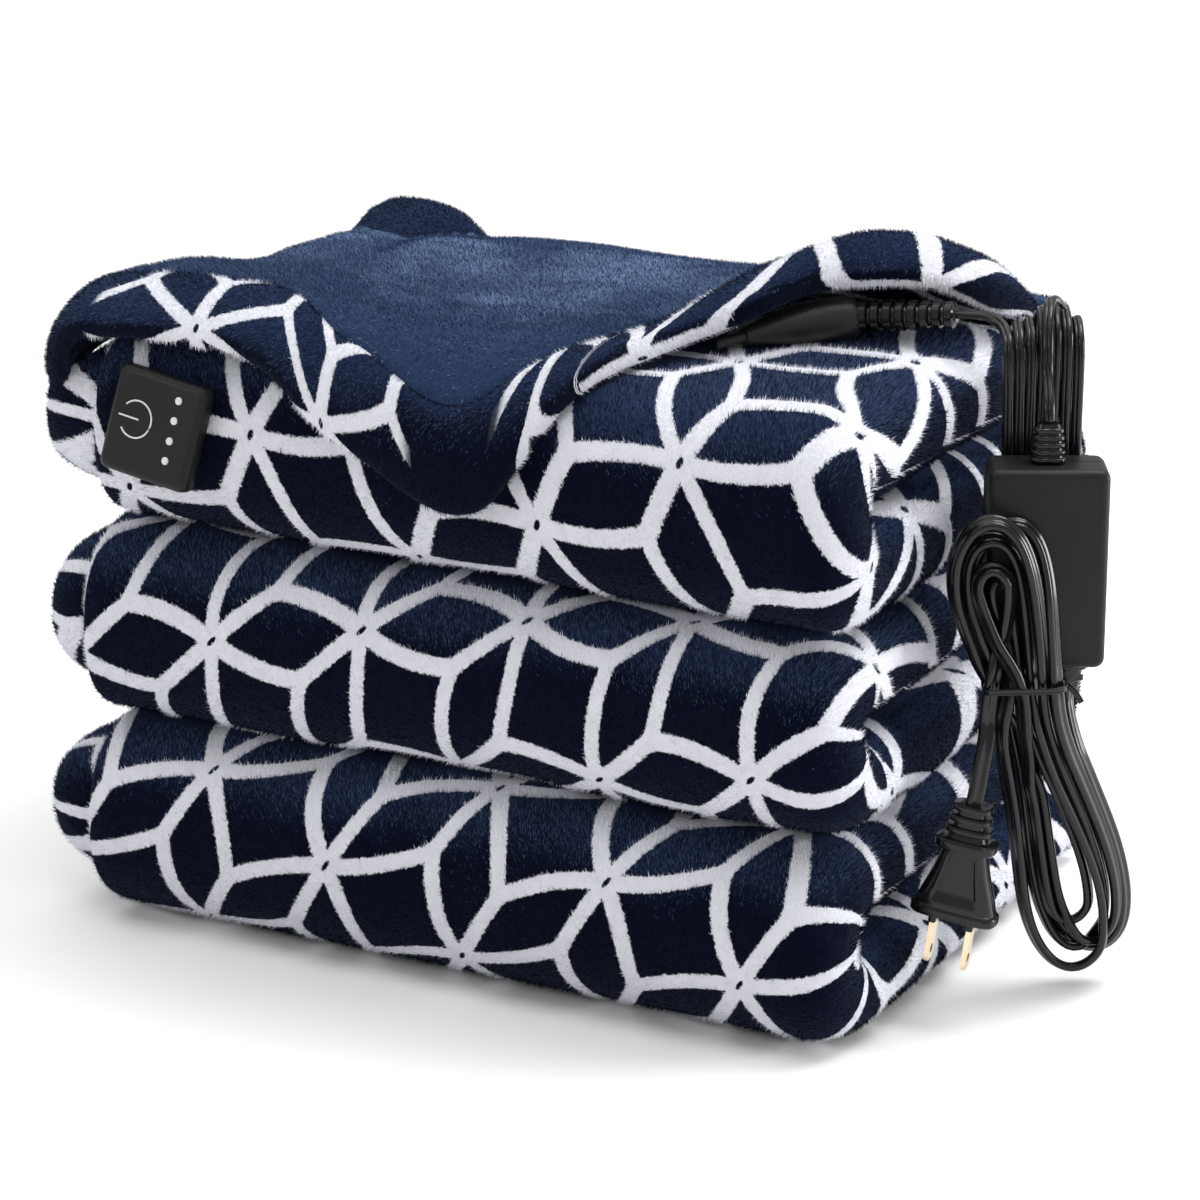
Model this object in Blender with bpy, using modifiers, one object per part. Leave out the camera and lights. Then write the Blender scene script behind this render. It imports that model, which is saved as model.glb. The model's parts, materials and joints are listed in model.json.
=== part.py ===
"""Electric heated blanket, folded for display, with its controller, low-voltage lead, adapter and plug.

The cloth is one closed solid. Across its width it is rolled into four plies: the outer ply ends in a free
hem at the left, wraps round the right end, comes back underneath, turns up round the left rim and ends
inside. That four-ply strip is laid back and forth in six passes, which show at the front as three bundles.
At the back of the top pass the cloth turns over and comes forward again as a corner with its reverse up.

Frame: +X right along the front, -Y front, +Z up, origin under the middle of the stack. Metres.
"""
import bpy
import bmesh
import math
import numpy as np
from mathutils import Matrix, Vector

MM = 0.001
NAME = "electric_heated_blanket"

# cloth: ply thickness, air between plies and between passes
PLY = 8.6 * MM
PLY_GAP = 0.35 * MM
PASS_GAP = 0.8 * MM
PLY_STEP = PLY + PLY_GAP
HALF = 1.5 * PLY_STEP + PLY / 2
RIM = 1.0 * PLY_STEP + PLY / 2

# folded stack
X_LEFT = -151.5 * MM
X_RIGHT = 151.5 * MM
Y_FRONT = -115 * MM
Y_BACK = 113 * MM
BEND = 36 * MM
BEND_POWER = 2.35
HEM_BACK = 14.5 * MM
FLAP_PULL = 7.5 * MM
LEVELS_LEFT = (0.0, 36.6, 73.8, 110.2, 146.2, 181.5, 217.2)
LEVELS_RIGHT = (0.0, 36.2, 72.8, 106.8, 141.2, 179.0, 217.2)

# turned-back corner: sheet thickness and its free edge, from the left rim to the right end, in mm.
# across: distance along X, along: distance back from the front bend over the top, off: height of the
# sheet's middle above the stack, crest: further height behind the edge, back: where it meets the crease
FLAP = 8.0 * MM
FLAP_EDGE = (
    # across, along, off, crest, back
    (-160.0, -44.0, 6.0, 0.0, -134.0),
    (-148.0, -33.0, 8.0, 0.0, -130.0),
    (-133.0, -27.0, 10.0, 0.0, -124.0),
    (-110.0, -26.5, 12.0, 0.0, -115.0),
    (-88.9, -26.6, 12.0, 0.0, -105.0),
    (-66.0, -27.0, 12.0, 0.0, -94.0),
    (-49.9, -32.5, 10.0, 0.0, -82.0),
    (-33.5, -43.2, 8.0, 0.0, -66.0),
    (-16.0, -49.0, 7.0, 0.0, -50.0),
    (-1.5, -56.7, 6.2, 0.0, -34.0),
    (16.0, -63.5, 6.0, 0.0, -16.0),
    (30.0, -58.5, 6.0, 0.0, 2.0),
    (41.5, -43.6, 6.0, 0.0, 20.0),
    (50.0, -30.0, 6.0, 0.0, 38.0),
    (58.6, -13.0, 6.0, 1.0, 54.0),
    (63.5, 8.0, 7.5, 3.0, 70.0),
    (73.0, 27.0, 12.0, 7.0, 86.0),
    (89.0, 41.0, 17.5, 11.0, 101.0),
    (103.0, 64.0, 22.5, 13.0, 115.0),
    (123.4, 73.0, 24.0, 12.0, 128.0),
    (134.0, 80.0, 22.5, 9.0, 136.0),
    (141.0, 92.0, 16.5, 5.0, 140.5),
    (144.5, 110.0, 9.5, 1.5, 143.5),
)
FLAP_ROWS = 11
CREST_AT = 0.30

# controller on the front of the top bundle
CTRL_W = 38.5 * MM
CTRL_H = 39.0 * MM
CTRL_T = 7.0 * MM
CTRL_SPOT = (-99.0 * MM, -49.0 * MM)
CTRL_ROLL = math.radians(-9.0)

# hanging group: its plane faces the viewer; side runs right, fore comes forward
HANG_YAW = math.radians(27.83)
HANG = Vector((165.6 * MM, -17.0 * MM, 0.0))
CONNECTOR = (
    (75.0, -46.0, 219.6), (85.5, -31.0, 221.8), (96.5, -18.5, 223.8), (109.5, -9.6, 225.4), (144.0, -4.6, 228.6),
)
DC_DIA = 3.8 * MM
MAINS_DIA = 5.6 * MM
GAP = 0.3 * MM
ADAPTER = (39.6 * MM, 21.5 * MM, 67.5 * MM)
ADAPTER_AT = (14.0 * MM, 11.4 * MM, 153.5 * MM)
DC_HANK = (28.6 * MM, 23.6 * MM, 84.0 * MM)
DC_HANK_AT = (13.6 * MM, -12.1 * MM, 192.5 * MM)
HANK_THICK = 11.0 * MM
HANK_ROWS = (
    # height, middle, half width, fore, in mm
    (177.0, 0.5, 7.0, 28.2),
    (174.5, -0.5, 12.5, 28.2),
    (168.0, -0.8, 17.5, 28.2),
    (156.0, -1.2, 19.6, 28.2),
    (143.0, -0.2, 18.8, 28.2),
    (130.0, 2.8, 15.6, 28.2),
    (119.0, 6.2, 12.2, 28.0),
    (113.0, 7.6, 11.8, 27.4),
    (100.0, 11.6, 13.2, 25.0),
    (85.0, 16.6, 15.0, 21.0),
    (66.0, 22.4, 17.6, 15.6),
    (47.0, 27.6, 19.4, 10.4),
    (30.0, 31.8, 19.6, 6.2),
    (14.5, 34.6, 17.0, 3.2),
    (5.2, 36.2, 12.4, 1.4),
    (0.6, 37.0, 7.0, 0.6),
)
TIE_Z = 116.0
LEAD_TOP = (0.6, 35.3, 111.5)
PLUG_AT = (-9.0, 34.5, 77.5)
PLUG_LEAN = math.radians(8.0)
PLUG_TURN = math.radians(-20.0)
BLADE = (6.35 * MM, 1.5 * MM, 17.0 * MM)
BLADE_PITCH = 12.7 * MM
PLUG_ROWS = (
    # distance down, half width, half thickness, in mm
    (0.0, 4.6, 3.4), (0.3, 6.6, 4.6), (2.2, 6.6, 4.6), (2.5, 4.6, 3.6), (3.9, 4.6, 3.6), (4.2, 7.0, 4.8),
    (6.1, 7.0, 4.8), (6.4, 5.2, 4.0), (7.8, 5.2, 4.0), (8.1, 7.8, 5.2), (10.0, 7.8, 5.2),
    (10.4, 6.4, 4.6), (12.2, 7.0, 4.8), (12.6, 10.4, 6.4), (15.6, 10.2, 6.4), (16.2, 7.4, 5.0),
    (22.0, 8.6, 5.2), (30.0, 11.6, 5.6), (36.5, 13.6, 6.0), (37.4, 14.6, 6.6), (40.0, 14.6, 6.6),
)


def smooth(t):
    """Ease from 0 to 1."""
    t = np.clip(t, 0.0, 1.0)
    return t * t * (3 - 2 * t)


def level(k, x):
    """Height of the seam under pass k at x; the seams lean a little from left to right."""
    w = np.clip((x - X_LEFT) / (X_RIGHT - X_LEFT), 0.0, 1.0)
    return (LEVELS_LEFT[k] * (1 - w) + LEVELS_RIGHT[k] * w) * MM


def top_drop(x, y):
    """How far the top pass has sunk below its full height."""
    back = 0.013 * smooth((y - 0.02) / 0.075) * (1 - 0.8 * smooth((-x - 0.085) / 0.035))
    left = 0.010 * smooth((-x - 0.060) / 0.055) * smooth((y + 0.070) / 0.075)
    left = left * (1 - smooth((y - 0.055) / 0.035))
    return back + left


def end_y(x):
    """Where the top pass ends at the back: further out at the left."""
    return 0.088 + 0.018 * smooth((-x - 0.08) / 0.05)


def bend_arc(theta):
    """Squared-off half circle: cosine and sine raised to give a flatter front."""
    c, s = np.cos(theta), np.sin(theta)
    e = 2 / BEND_POWER
    return np.abs(c) ** e, np.sign(s) * np.abs(s) ** e


def seam_z(p, up, x, y):
    """Height of one face of pass p."""
    z = level(p + 1, x) - PASS_GAP if up else level(p, x)
    if p == 5 and up:
        z = z - top_drop(x, y)
    return z + 0.0 * y


def rails(x, straight=2, bend=7):
    """Side A and side B of the strip as (y, z) at every station, for each x.

    Side A faces down in the first pass, out at the front bends and up on top.
    """
    a_rows, b_rows = [], []
    y_f, y_b = Y_FRONT + BEND, Y_BACK - BEND
    for p in range(6):
        forward = p % 2 == 0
        first = y_b + (0.030 if p == 0 else 0.0)
        last = y_f
        ends = (first, last) if forward else (y_f, y_b)
        for i in range(straight + 2):
            w = i / (straight + 1)
            if p == 5:
                y = y_f + (end_y(x) - y_f) * w
            else:
                y = ends[0] + (ends[1] - ends[0]) * w + 0.0 * x
            a_rows.append((y, seam_z(p, not forward, x, y)))
            b_rows.append((y, seam_z(p, forward, x, y)))
        if p == 5:
            break
        low_z, high_z = seam_z(p, False, x, y), seam_z(p + 1, True, x, y)
        in_lo, in_hi = seam_z(p, True, x, y), seam_z(p + 1, False, x, y)
        mid, half = (low_z + high_z) / 2, (high_z - low_z) / 2
        in_mid, in_half = (in_lo + in_hi) / 2, (in_hi - in_lo) / 2
        side = -1 if forward else 1
        base = y_f if forward else y_b
        for i in range(1, bend):
            c, s = bend_arc(-math.pi / 2 + math.pi * i / bend)
            t = -math.pi / 2 + math.pi * i / bend
            out = (base + side * BEND * c, mid + half * s)
            inn = (base + side * in_half * math.cos(t), in_mid + in_half * math.sin(t))
            (a_rows if forward else b_rows).append(out)
            (b_rows if forward else a_rows).append(inn)
    a = np.array([np.broadcast_arrays(r[0] + 0 * x, r[1] + 0 * x) for r in a_rows])
    b = np.array([np.broadcast_arrays(r[0] + 0 * x, r[1] + 0 * x) for r in b_rows])
    return a, b


def strip_section(between=(-126, -104, -70, 70), wrap=5, rim=5, core=5):
    """Left and right sides of the rolled four-ply section, as (x, n) rows of the same count.

    between lists where along X, in mm, every ply has a row of points, so that plies keep their gap.
    """
    xr, xl = X_RIGHT - HALF, X_LEFT + RIM
    n1, n2 = 1.5 * PLY_STEP, 0.5 * PLY_STEP
    hem = X_LEFT + HEM_BACK + 0.6 * PLY
    left, right = [], []

    def line(x0, x1, n, sgn):
        inner = [x * MM for x in between]
        for x in [x0] + (inner if x1 > x0 else inner[::-1]) + [x1]:
            left.append((x, n + sgn * PLY / 2))
            right.append((x, n - sgn * PLY / 2))

    def turn(cx, cn, r, a0, a1, count):
        for i in range(1, count):
            a = a0 + (a1 - a0) * i / count
            for rows, rr in ((left, r + PLY / 2), (right, r - PLY / 2)):
                rows.append((cx + rr * math.cos(a), cn + rr * math.sin(a)))

    line(hem, xr, n1, 1)
    turn(xr, 0, n1, math.pi / 2, -math.pi / 2, wrap)
    line(xr, xl, -n1, -1)
    turn(xl, -n2, PLY_STEP, -math.pi / 2, -3 * math.pi / 2, rim)
    line(xl, xr, n2, 1)
    turn(xr, 0, n2, math.pi / 2, -math.pi / 2, core)
    line(xr, xl + 2 * MM, -n2, -1)
    return np.array(left), np.array(right)


def hem_caps(left, right):
    """Extra points that round the two free hems: outer hem crisp, inner hem rounder."""
    out = []
    for i, (back, crisp) in ((0, (-1, 0.45)), (-1, (1, 0.8))):
        a, b = left[i], right[i]
        mid, half = (a + b) / 2, PLY / 2
        sign = -1
        pts = []
        for t in (0.72, -0.72):
            pts.append((mid[0] + sign * half * crisp, mid[1] + (a[1] - mid[1]) * t))
        out.append(pts)
    return out


def end_shift(station, count):
    """How far the left rim and the right roll wander along the strip."""
    s = station / (count - 1)
    right = 2.2 * math.sin(2 * math.pi * (2.6 * s + 0.1)) + 1.2 * math.sin(2 * math.pi * 7.3 * s)
    left = 1.6 * math.sin(2 * math.pi * (3.1 * s + 0.35))
    pull = float(smooth((s - 0.79) / 0.035)) * FLAP_PULL / MM
    return (left + pull) * MM, right * MM


def strip_points(section, straight=2, bend=7):
    """Section points carried along the back-and-forth rails: stations x section points x 3."""
    lo, hi = section[:, 0].min(), section[:, 0].max()
    probe = rails(section[:, 0], straight, bend)[0]
    count = len(probe)
    points = np.zeros((count, len(section), 3))
    for k in range(count):
        dl, dr = end_shift(k, count)
        w = (section[:, 0] - lo) / (hi - lo)
        x = section[:, 0] + dl * (1 - w) ** 2 + dr * w ** 3
        a, b = rails(x, straight, bend)
        t = ((section[:, 1] + HALF) / (2 * HALF))[:, None]
        yz = b[k].T * (1 - t) + a[k].T * t
        points[k] = np.column_stack([x, yz])
    return points


def mesh_object(name, verts, faces, material, collection):
    """Closed mesh object with doubles merged and faces outward."""
    mesh = bpy.data.meshes.new(name)
    mesh.from_pydata([tuple(v) for v in verts], [], faces)
    bm = bmesh.new()
    bm.from_mesh(mesh)
    bmesh.ops.remove_doubles(bm, verts=bm.verts, dist=1e-6)
    bmesh.ops.recalc_face_normals(bm, faces=bm.faces)
    bm.to_mesh(mesh)
    bm.free()
    return add_object(name, mesh, material, collection)


def build_stack(material, collection):
    """The folded strip: one closed back-and-forth ribbon of four plies."""
    left, right = strip_section()
    start_cap, end_cap = hem_caps(left, right)
    ring = np.vstack([left, np.array(end_cap), right[::-1], np.array(start_cap)[::-1]])
    pts = strip_points(ring)
    count, m = pts.shape[:2]
    faces = []
    for k in range(count - 1):
        for i in range(m):
            j = (i + 1) % m
            faces.append((k * m + i, k * m + j, (k + 1) * m + j, (k + 1) * m + i))
    n = len(left)
    for k in (0, count - 1):
        o = k * m
        for i in range(n - 1):
            faces.append((o + i, o + i + 1, o + 2 * n + 1 - i - 1, o + 2 * n + 1 - i))
        faces.append((o + n - 1, o + n, o + n + 1, o + n + 2))
        faces.append((o + 0, o + 2 * n + 1, o + 2 * n + 2, o + 2 * n + 3))
    return mesh_object("blanket", pts.reshape(-1, 3), faces, material, collection)


def profile(x, count=60):
    """Top line of the stack at x, from the front roll's middle over the top to the end of the pass."""
    c, s = bend_arc(np.linspace(0, math.pi / 2, count))
    z_top, z_low = level(6, x) - PASS_GAP, level(4, x)
    mid, half = (z_top + z_low) / 2, (z_top - z_low) / 2
    y_f = Y_FRONT + BEND
    bend = np.stack([y_f - BEND * c, mid + half * s], 1)
    ys = np.linspace(y_f, end_y(x), count)[1:]
    top = np.stack([ys, z_top - top_drop(x, ys)], 1)
    pts = np.vstack([np.array([[Y_FRONT + 0.001, mid - 0.02]]), bend, top])
    u = np.concatenate([[0], np.cumsum(np.linalg.norm(np.diff(pts, axis=0), axis=1))])
    u = u - u[count]
    tan = np.gradient(pts, axis=0)
    tan /= np.linalg.norm(tan, axis=1)[:, None]
    return pts, u, np.stack([-tan[:, 1], tan[:, 0]], 1)


def over_stack(across, along, off):
    """Point at a height over the stack; past the ends it turns down round the rolls."""
    xr, xl = X_RIGHT - HALF, X_LEFT + RIM + FLAP_PULL
    x = min(max(across, xl), xr)
    dn, dx = 0.0, 0.0
    if across > xr:
        r = HALF + off
        a = (across - xr) / (HALF + 5 * MM)
        dx, dn = r * math.sin(a), r * math.cos(a) - HALF - off
    elif across < xl:
        depth = HALF + 0.5 * PLY_STEP
        a = (xl - across) / (RIM + 6 * MM)
        dx = -(RIM + PLY * 0.6 + off * 0.25) * math.sin(a)
        dn = (depth + off) * (math.cos(a) - 1)
    pts, u, nor = profile(x)
    p = np.array([np.interp(along, u, pts[:, i]) for i in (0, 1)])
    n = np.array([np.interp(along, u, nor[:, i]) for i in (0, 1)])
    n /= np.linalg.norm(n)
    p = p + n * (off + dn)
    return Vector((x + dx, p[0], p[1]))


def flap_grid(columns, rows):
    """Middle surface of the turned-back corner, with the crease rows that dive into the top ply."""
    table = np.array(FLAP_EDGE) * MM
    step = np.linalg.norm(np.diff(table[:, :2], axis=0), axis=1)
    s_of = np.concatenate([[0], np.cumsum(step)]) / step.sum()
    grid = []
    for i in range(columns):
        s = i / (columns - 1)
        across, along, off, crest, back = (np.interp(s, s_of, table[:, c]) for c in range(5))
        _, u, _ = profile(min(max(back, X_LEFT), X_RIGHT))
        rest = FLAP / 2 + 1.2 * MM
        line = []
        for j in range(rows):
            t = j / (rows - 1)
            hump = float(smooth(t / CREST_AT) if t < CREST_AT else 1 - smooth((t - CREST_AT) / (1 - CREST_AT)))
            height = off + (rest - off) * float(smooth(t / 0.8)) + crest * hump
            ease = t ** 1.45
            line.append(over_stack(across + (back - across) * ease, along + (u[-1] - along) * ease, height))
        end = line[-1]
        for dy, dz in ((4.6, -1.6), (5.2, -6.0), (1.0, -9.2), (-7.0, -9.6)):
            line.append(end + Vector((0, dy * MM, dz * MM)))
        grid.append(line)
    return grid


def build_flap(material, collection, columns=30, rows=FLAP_ROWS):
    """The turned-back corner as a closed sheet with rounded edges."""
    grid = flap_grid(columns, rows)
    rows = len(grid[0])
    mid = np.array([[tuple(p) for p in line] for line in grid])
    du, dv = np.gradient(mid, axis=0), np.gradient(mid, axis=1)
    nor = np.cross(du, dv)
    nor /= np.linalg.norm(nor, axis=2)[:, :, None]
    h = np.full((columns, rows), FLAP / 2)
    h[:, -3:] *= np.array((0.85, 0.62, 0.5))
    top, low = mid + nor * h[:, :, None], mid - nor * h[:, :, None]
    verts = list(top.reshape(-1, 3)) + list(low.reshape(-1, 3))
    n = columns * rows
    faces = []

    def at(i, j, side):
        return side * n + i * rows + j

    for i in range(columns - 1):
        for j in range(rows - 1):
            faces.append((at(i, j, 0), at(i + 1, j, 0), at(i + 1, j + 1, 0), at(i, j + 1, 0)))
            faces.append((at(i, j + 1, 1), at(i + 1, j + 1, 1), at(i + 1, j, 1), at(i, j, 1)))
    border = [(i, 0) for i in range(columns)] + [(columns - 1, j) for j in range(1, rows)]
    border += [(i, rows - 1) for i in range(columns - 2, -1, -1)] + [(0, j) for j in range(rows - 2, 0, -1)]
    mids = []
    for k, (i, j) in enumerate(border):
        pi, pj = border[k - 1]
        qi, qj = border[(k + 1) % len(border)]
        tangent = mid[qi, qj] - mid[pi, pj]
        out = np.cross(tangent, nor[i, j])
        out /= max(np.linalg.norm(out), 1e-9)
        mids.append(len(verts))
        verts.append(mid[i, j] + out * h[i, j] * 0.9)
    for k, (i, j) in enumerate(border):
        i2, j2 = border[(k + 1) % len(border)]
        m1, m2 = mids[k], mids[(k + 1) % len(border)]
        faces.append((at(i, j, 0), m1, m2, at(i2, j2, 0)))
        faces.append((m1, at(i, j, 1), at(i2, j2, 1), m2))
    return mesh_object("corner_fold", verts, faces, material, collection)


def join_union(base, other):
    """Exact union of two closed solids into the first."""
    mod = base.modifiers.new("join", "BOOLEAN")
    mod.operation = "UNION"
    mod.solver = "EXACT"
    mod.object = other
    graph = bpy.context.evaluated_depsgraph_get()
    mesh = bpy.data.meshes.new_from_object(base.evaluated_get(graph))
    base.modifiers.clear()
    base.data = mesh
    bpy.data.objects.remove(other)


def evaluated_mesh(obj, weld=1e-6):
    """Evaluated mesh of an object with doubles merged and faces outward; the object is removed."""
    graph = bpy.context.evaluated_depsgraph_get()
    mesh = bpy.data.meshes.new_from_object(obj.evaluated_get(graph))
    bpy.data.objects.remove(obj)
    bm = bmesh.new()
    bm.from_mesh(mesh)
    bmesh.ops.remove_doubles(bm, verts=bm.verts, dist=weld)
    bmesh.ops.recalc_face_normals(bm, faces=bm.faces)
    bm.to_mesh(mesh)
    bm.free()
    return mesh


def add_object(name, mesh, material, collection, parent=None):
    """Link a mesh object with its one material under its parent."""
    obj = bpy.data.objects.new(name, mesh)
    mesh.name = name
    mesh.materials.clear()
    mesh.materials.append(material)
    collection.objects.link(obj)
    obj.parent = parent
    return obj


def rounded_box(name, size, radius, material, collection, parent=None):
    """Box primitive with a Bevel modifier on every edge."""
    bm = bmesh.new()
    bmesh.ops.create_cube(bm, size=1.0)
    bmesh.ops.scale(bm, vec=Vector(size), verts=bm.verts)
    mesh = bpy.data.meshes.new(name)
    bm.to_mesh(mesh)
    bm.free()
    obj = add_object(name, mesh, material, collection, parent)
    bevel = obj.modifiers.new("edges", "BEVEL")
    bevel.width = radius
    bevel.segments = 3
    bevel.limit_method = "ANGLE"
    return obj


def turned(name, rows, steps, flat, material, collection, parent=None):
    """Turned piece: (distance down, radius) rows in a Screw modifier, flattened across Y."""
    mesh = bpy.data.meshes.new(name)
    points = [(0.0, 0.0, -rows[0][0])]
    points += [(r, 0.0, -z) for z, r in rows]
    points.append((0.0, 0.0, -rows[-1][0]))
    mesh.from_pydata(points, [(i, i + 1) for i in range(len(points) - 1)], [])
    obj = add_object(name, mesh, material, collection, parent)
    screw = obj.modifiers.new("turn", "SCREW")
    screw.axis = "Z"
    screw.steps = steps
    screw.render_steps = steps
    screw.use_merge_vertices = True
    screw.merge_threshold = 1e-6
    obj.scale = (1.0, flat, 1.0)
    return obj


def smooth_route(route, spacing):
    """Evenly spaced points on a smooth curve through the route's points."""
    pts = [Vector(p) for p in route]
    knots = [pts[0] * 2 - pts[1]] + pts + [pts[-1] * 2 - pts[-2]]
    dense = []
    for a, b, c, d in zip(knots, knots[1:], knots[2:], knots[3:]):
        for i in range(24):
            t = i / 24
            dense.append(0.5 * ((2 * b) + (c - a) * t + (2 * a - 5 * b + 4 * c - d) * t * t
                                + (3 * b - a - 3 * c + d) * t ** 3))
    dense.append(pts[-1])
    run = np.concatenate([[0.0], np.cumsum([(q - p).length for p, q in zip(dense, dense[1:])])])
    count = max(4, int(run[-1] / spacing) + 1)
    want = np.linspace(0, run[-1], count)
    rows = np.array([tuple(p) for p in dense])
    return np.column_stack([np.interp(want, run, rows[:, c]) for c in range(3)])


def tube(name, route, radius, spacing, material, collection, parent=None, closed=False, sides=2, taper=None):
    """Round tube on a poly spline, with filled caps unless it is a closed ring.

    taper gives (fraction along, share of the radius) pairs.
    """
    points = np.array(route) if closed else smooth_route(route, spacing)
    curve = bpy.data.curves.new(name, "CURVE")
    curve.dimensions = "3D"
    spline = curve.splines.new("POLY")
    spline.points.add(len(points) - 1)
    for i, (point, place) in enumerate(zip(spline.points, points)):
        point.co = (*place, 1.0)
        if taper:
            point.radius = float(np.interp(i / (len(points) - 1), *zip(*taper)))
    spline.use_cyclic_u = closed
    curve.bevel_depth = radius
    curve.bevel_resolution = sides
    curve.use_fill_caps = not closed
    draft = bpy.data.objects.new(name, curve)
    collection.objects.link(draft)
    return add_object(name, evaluated_mesh(draft), material, collection, parent)


def outline_solid(name, outline, thick, edge, material, collection, parent=None):
    """Flat outline as a filled 2D curve, extruded to its thickness with rounded edges."""
    curve = bpy.data.curves.new(name, "CURVE")
    curve.dimensions = "2D"
    curve.fill_mode = "BOTH"
    spline = curve.splines.new("POLY")
    spline.points.add(len(outline) - 1)
    for point, (x, y) in zip(spline.points, outline):
        point.co = (x, y, 0.0, 1.0)
    spline.use_cyclic_u = True
    curve.extrude = thick / 2 - edge
    curve.bevel_depth = edge
    curve.bevel_resolution = 1
    curve.offset = -edge
    draft = bpy.data.objects.new(name, curve)
    collection.objects.link(draft)
    return add_object(name, evaluated_mesh(draft), material, collection, parent)


def hang(side, fore, height):
    """Point of the hanging group in the frame."""
    right = Vector((math.cos(HANG_YAW), math.sin(HANG_YAW), 0))
    front = Vector((math.sin(HANG_YAW), -math.cos(HANG_YAW), 0))
    return HANG + right * side + front * fore + Vector((0, 0, height))


def local(side, fore, height):
    """Point of the hanging group in the group's own axes: X side, -Y fore, Z up; millimetres in."""
    return Vector((side, -fore, height)) * MM


def aim(start, end):
    """Matrix at start whose local -Z points to end and local X stays level."""
    down = (Vector(end) - Vector(start)).normalized()
    side = Vector((0, 0, 1)).cross(-down).normalized()
    turn = Matrix((side, (-down).cross(side), -down)).transposed().to_4x4()
    return Matrix.Translation(Vector(start)) @ turn


def build_controller(material, collection):
    """Square push-button controller on the front of the top bundle."""
    x, along = CTRL_SPOT
    low, high = over_stack(x, along - 0.017, 0.0), over_stack(x, along + 0.019, 0.0)
    up = (high - low).normalized()
    side = Vector((1, 0, 0))
    out = side.cross(up).normalized()
    reach = max((over_stack(x, along + d * MM, 0.0) - low).dot(out) for d in range(-17, 19, 2))
    centre = (low + high) / 2 + out * (reach + GAP + CTRL_T / 2)
    turn = Matrix((side, up, out)).transposed().to_4x4()
    obj = rounded_box("controller", (CTRL_W, CTRL_H, CTRL_T), 2.0 * MM, material, collection)
    obj.matrix_world = Matrix.Translation(centre) @ turn @ Matrix.Rotation(CTRL_ROLL, 4, "Z")


def build_dc_line(black, collection, group):
    """Connector, its ribbed relief, the lead and the small hank."""
    nose, body_end = Vector(CONNECTOR[0]) * MM, Vector(CONNECTOR[3]) * MM
    bend = Vector(CONNECTOR[4]) * MM
    taper = ((0.0, 0.26), (0.08, 0.44), (0.25, 0.68), (0.5, 0.88), (0.78, 1.0), (0.93, 0.98), (1.0, 0.86))
    route = [Vector(p) * MM for p in CONNECTOR[:4]]
    route.insert(3, body_end - (bend - body_end).normalized() * 3 * MM)
    tube("dc_connector", route, 6.6 * MM, 3.2 * MM, black, collection, taper=taper, sides=3)
    start = body_end + (bend - body_end).normalized() * GAP * 2
    run = (bend - start).length
    rows = [(0.0, 5.0 * MM)]
    for i in range(7):
        at = run * (0.03 + 0.135 * i)
        big, small = (6.2 - 0.2 * i) * MM, (4.7 - 0.2 * i) * MM
        rows += [(at, small), (at + 0.2 * MM, big), (at + run * 0.075, big), (at + run * 0.078, small)]
    rows.append((run, 3.2 * MM))
    relief = turned("dc_relief", rows, 12, 0.9, black, collection)
    relief.matrix_world = aim(start, bend) @ Matrix.Diagonal((1.0, 0.9, 1.0, 1.0))
    way = (bend - start).normalized()
    first = bend + way * GAP * 3
    entry = hang(DC_HANK_AT[0] - DC_HANK[0] / 2 - 2.5 * GAP, -6.0 * MM, 226.0 * MM)
    right = Vector((math.cos(HANG_YAW), math.sin(HANG_YAW), 0))
    route = (first, first + way * 4.5 * MM, entry - right * 5 * MM, entry)
    tube("dc_lead", route, DC_DIA / 2, 3 * MM, black, collection)
    width, depth, height = DC_HANK
    outline = []
    for sign in (1, -1):
        for i in range(9):
            a = math.pi * i / 8
            outline.append((sign * depth / 2 * math.cos(a),
                            sign * (height / 2 - depth / 2 + depth / 2 * math.sin(a))))
    hank = outline_solid("dc_hank", outline, width, 1.2 * MM, black, collection, group)
    hank.rotation_euler = (math.pi / 2, 0, math.pi / 2)
    hank.location = local(*[v / MM for v in DC_HANK_AT])


def relief_rows(ribs, step, big, small, grow, last):
    """Rows of a ribbed relief from its cord end downwards, in metres."""
    rows = [(0.0, small * 0.75 * MM)]
    for i in range(ribs):
        at = (0.8 + step * i) * MM
        outer, inner = (big + grow * i) * MM, (small + grow * i) * MM
        rows += [(at, inner), (at + 0.15 * MM, outer), (at + 0.6 * step * MM, outer),
                 (at + 0.64 * step * MM, inner)]
    rows.append((last * MM, (small + grow * ribs) * MM))
    return rows


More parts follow.
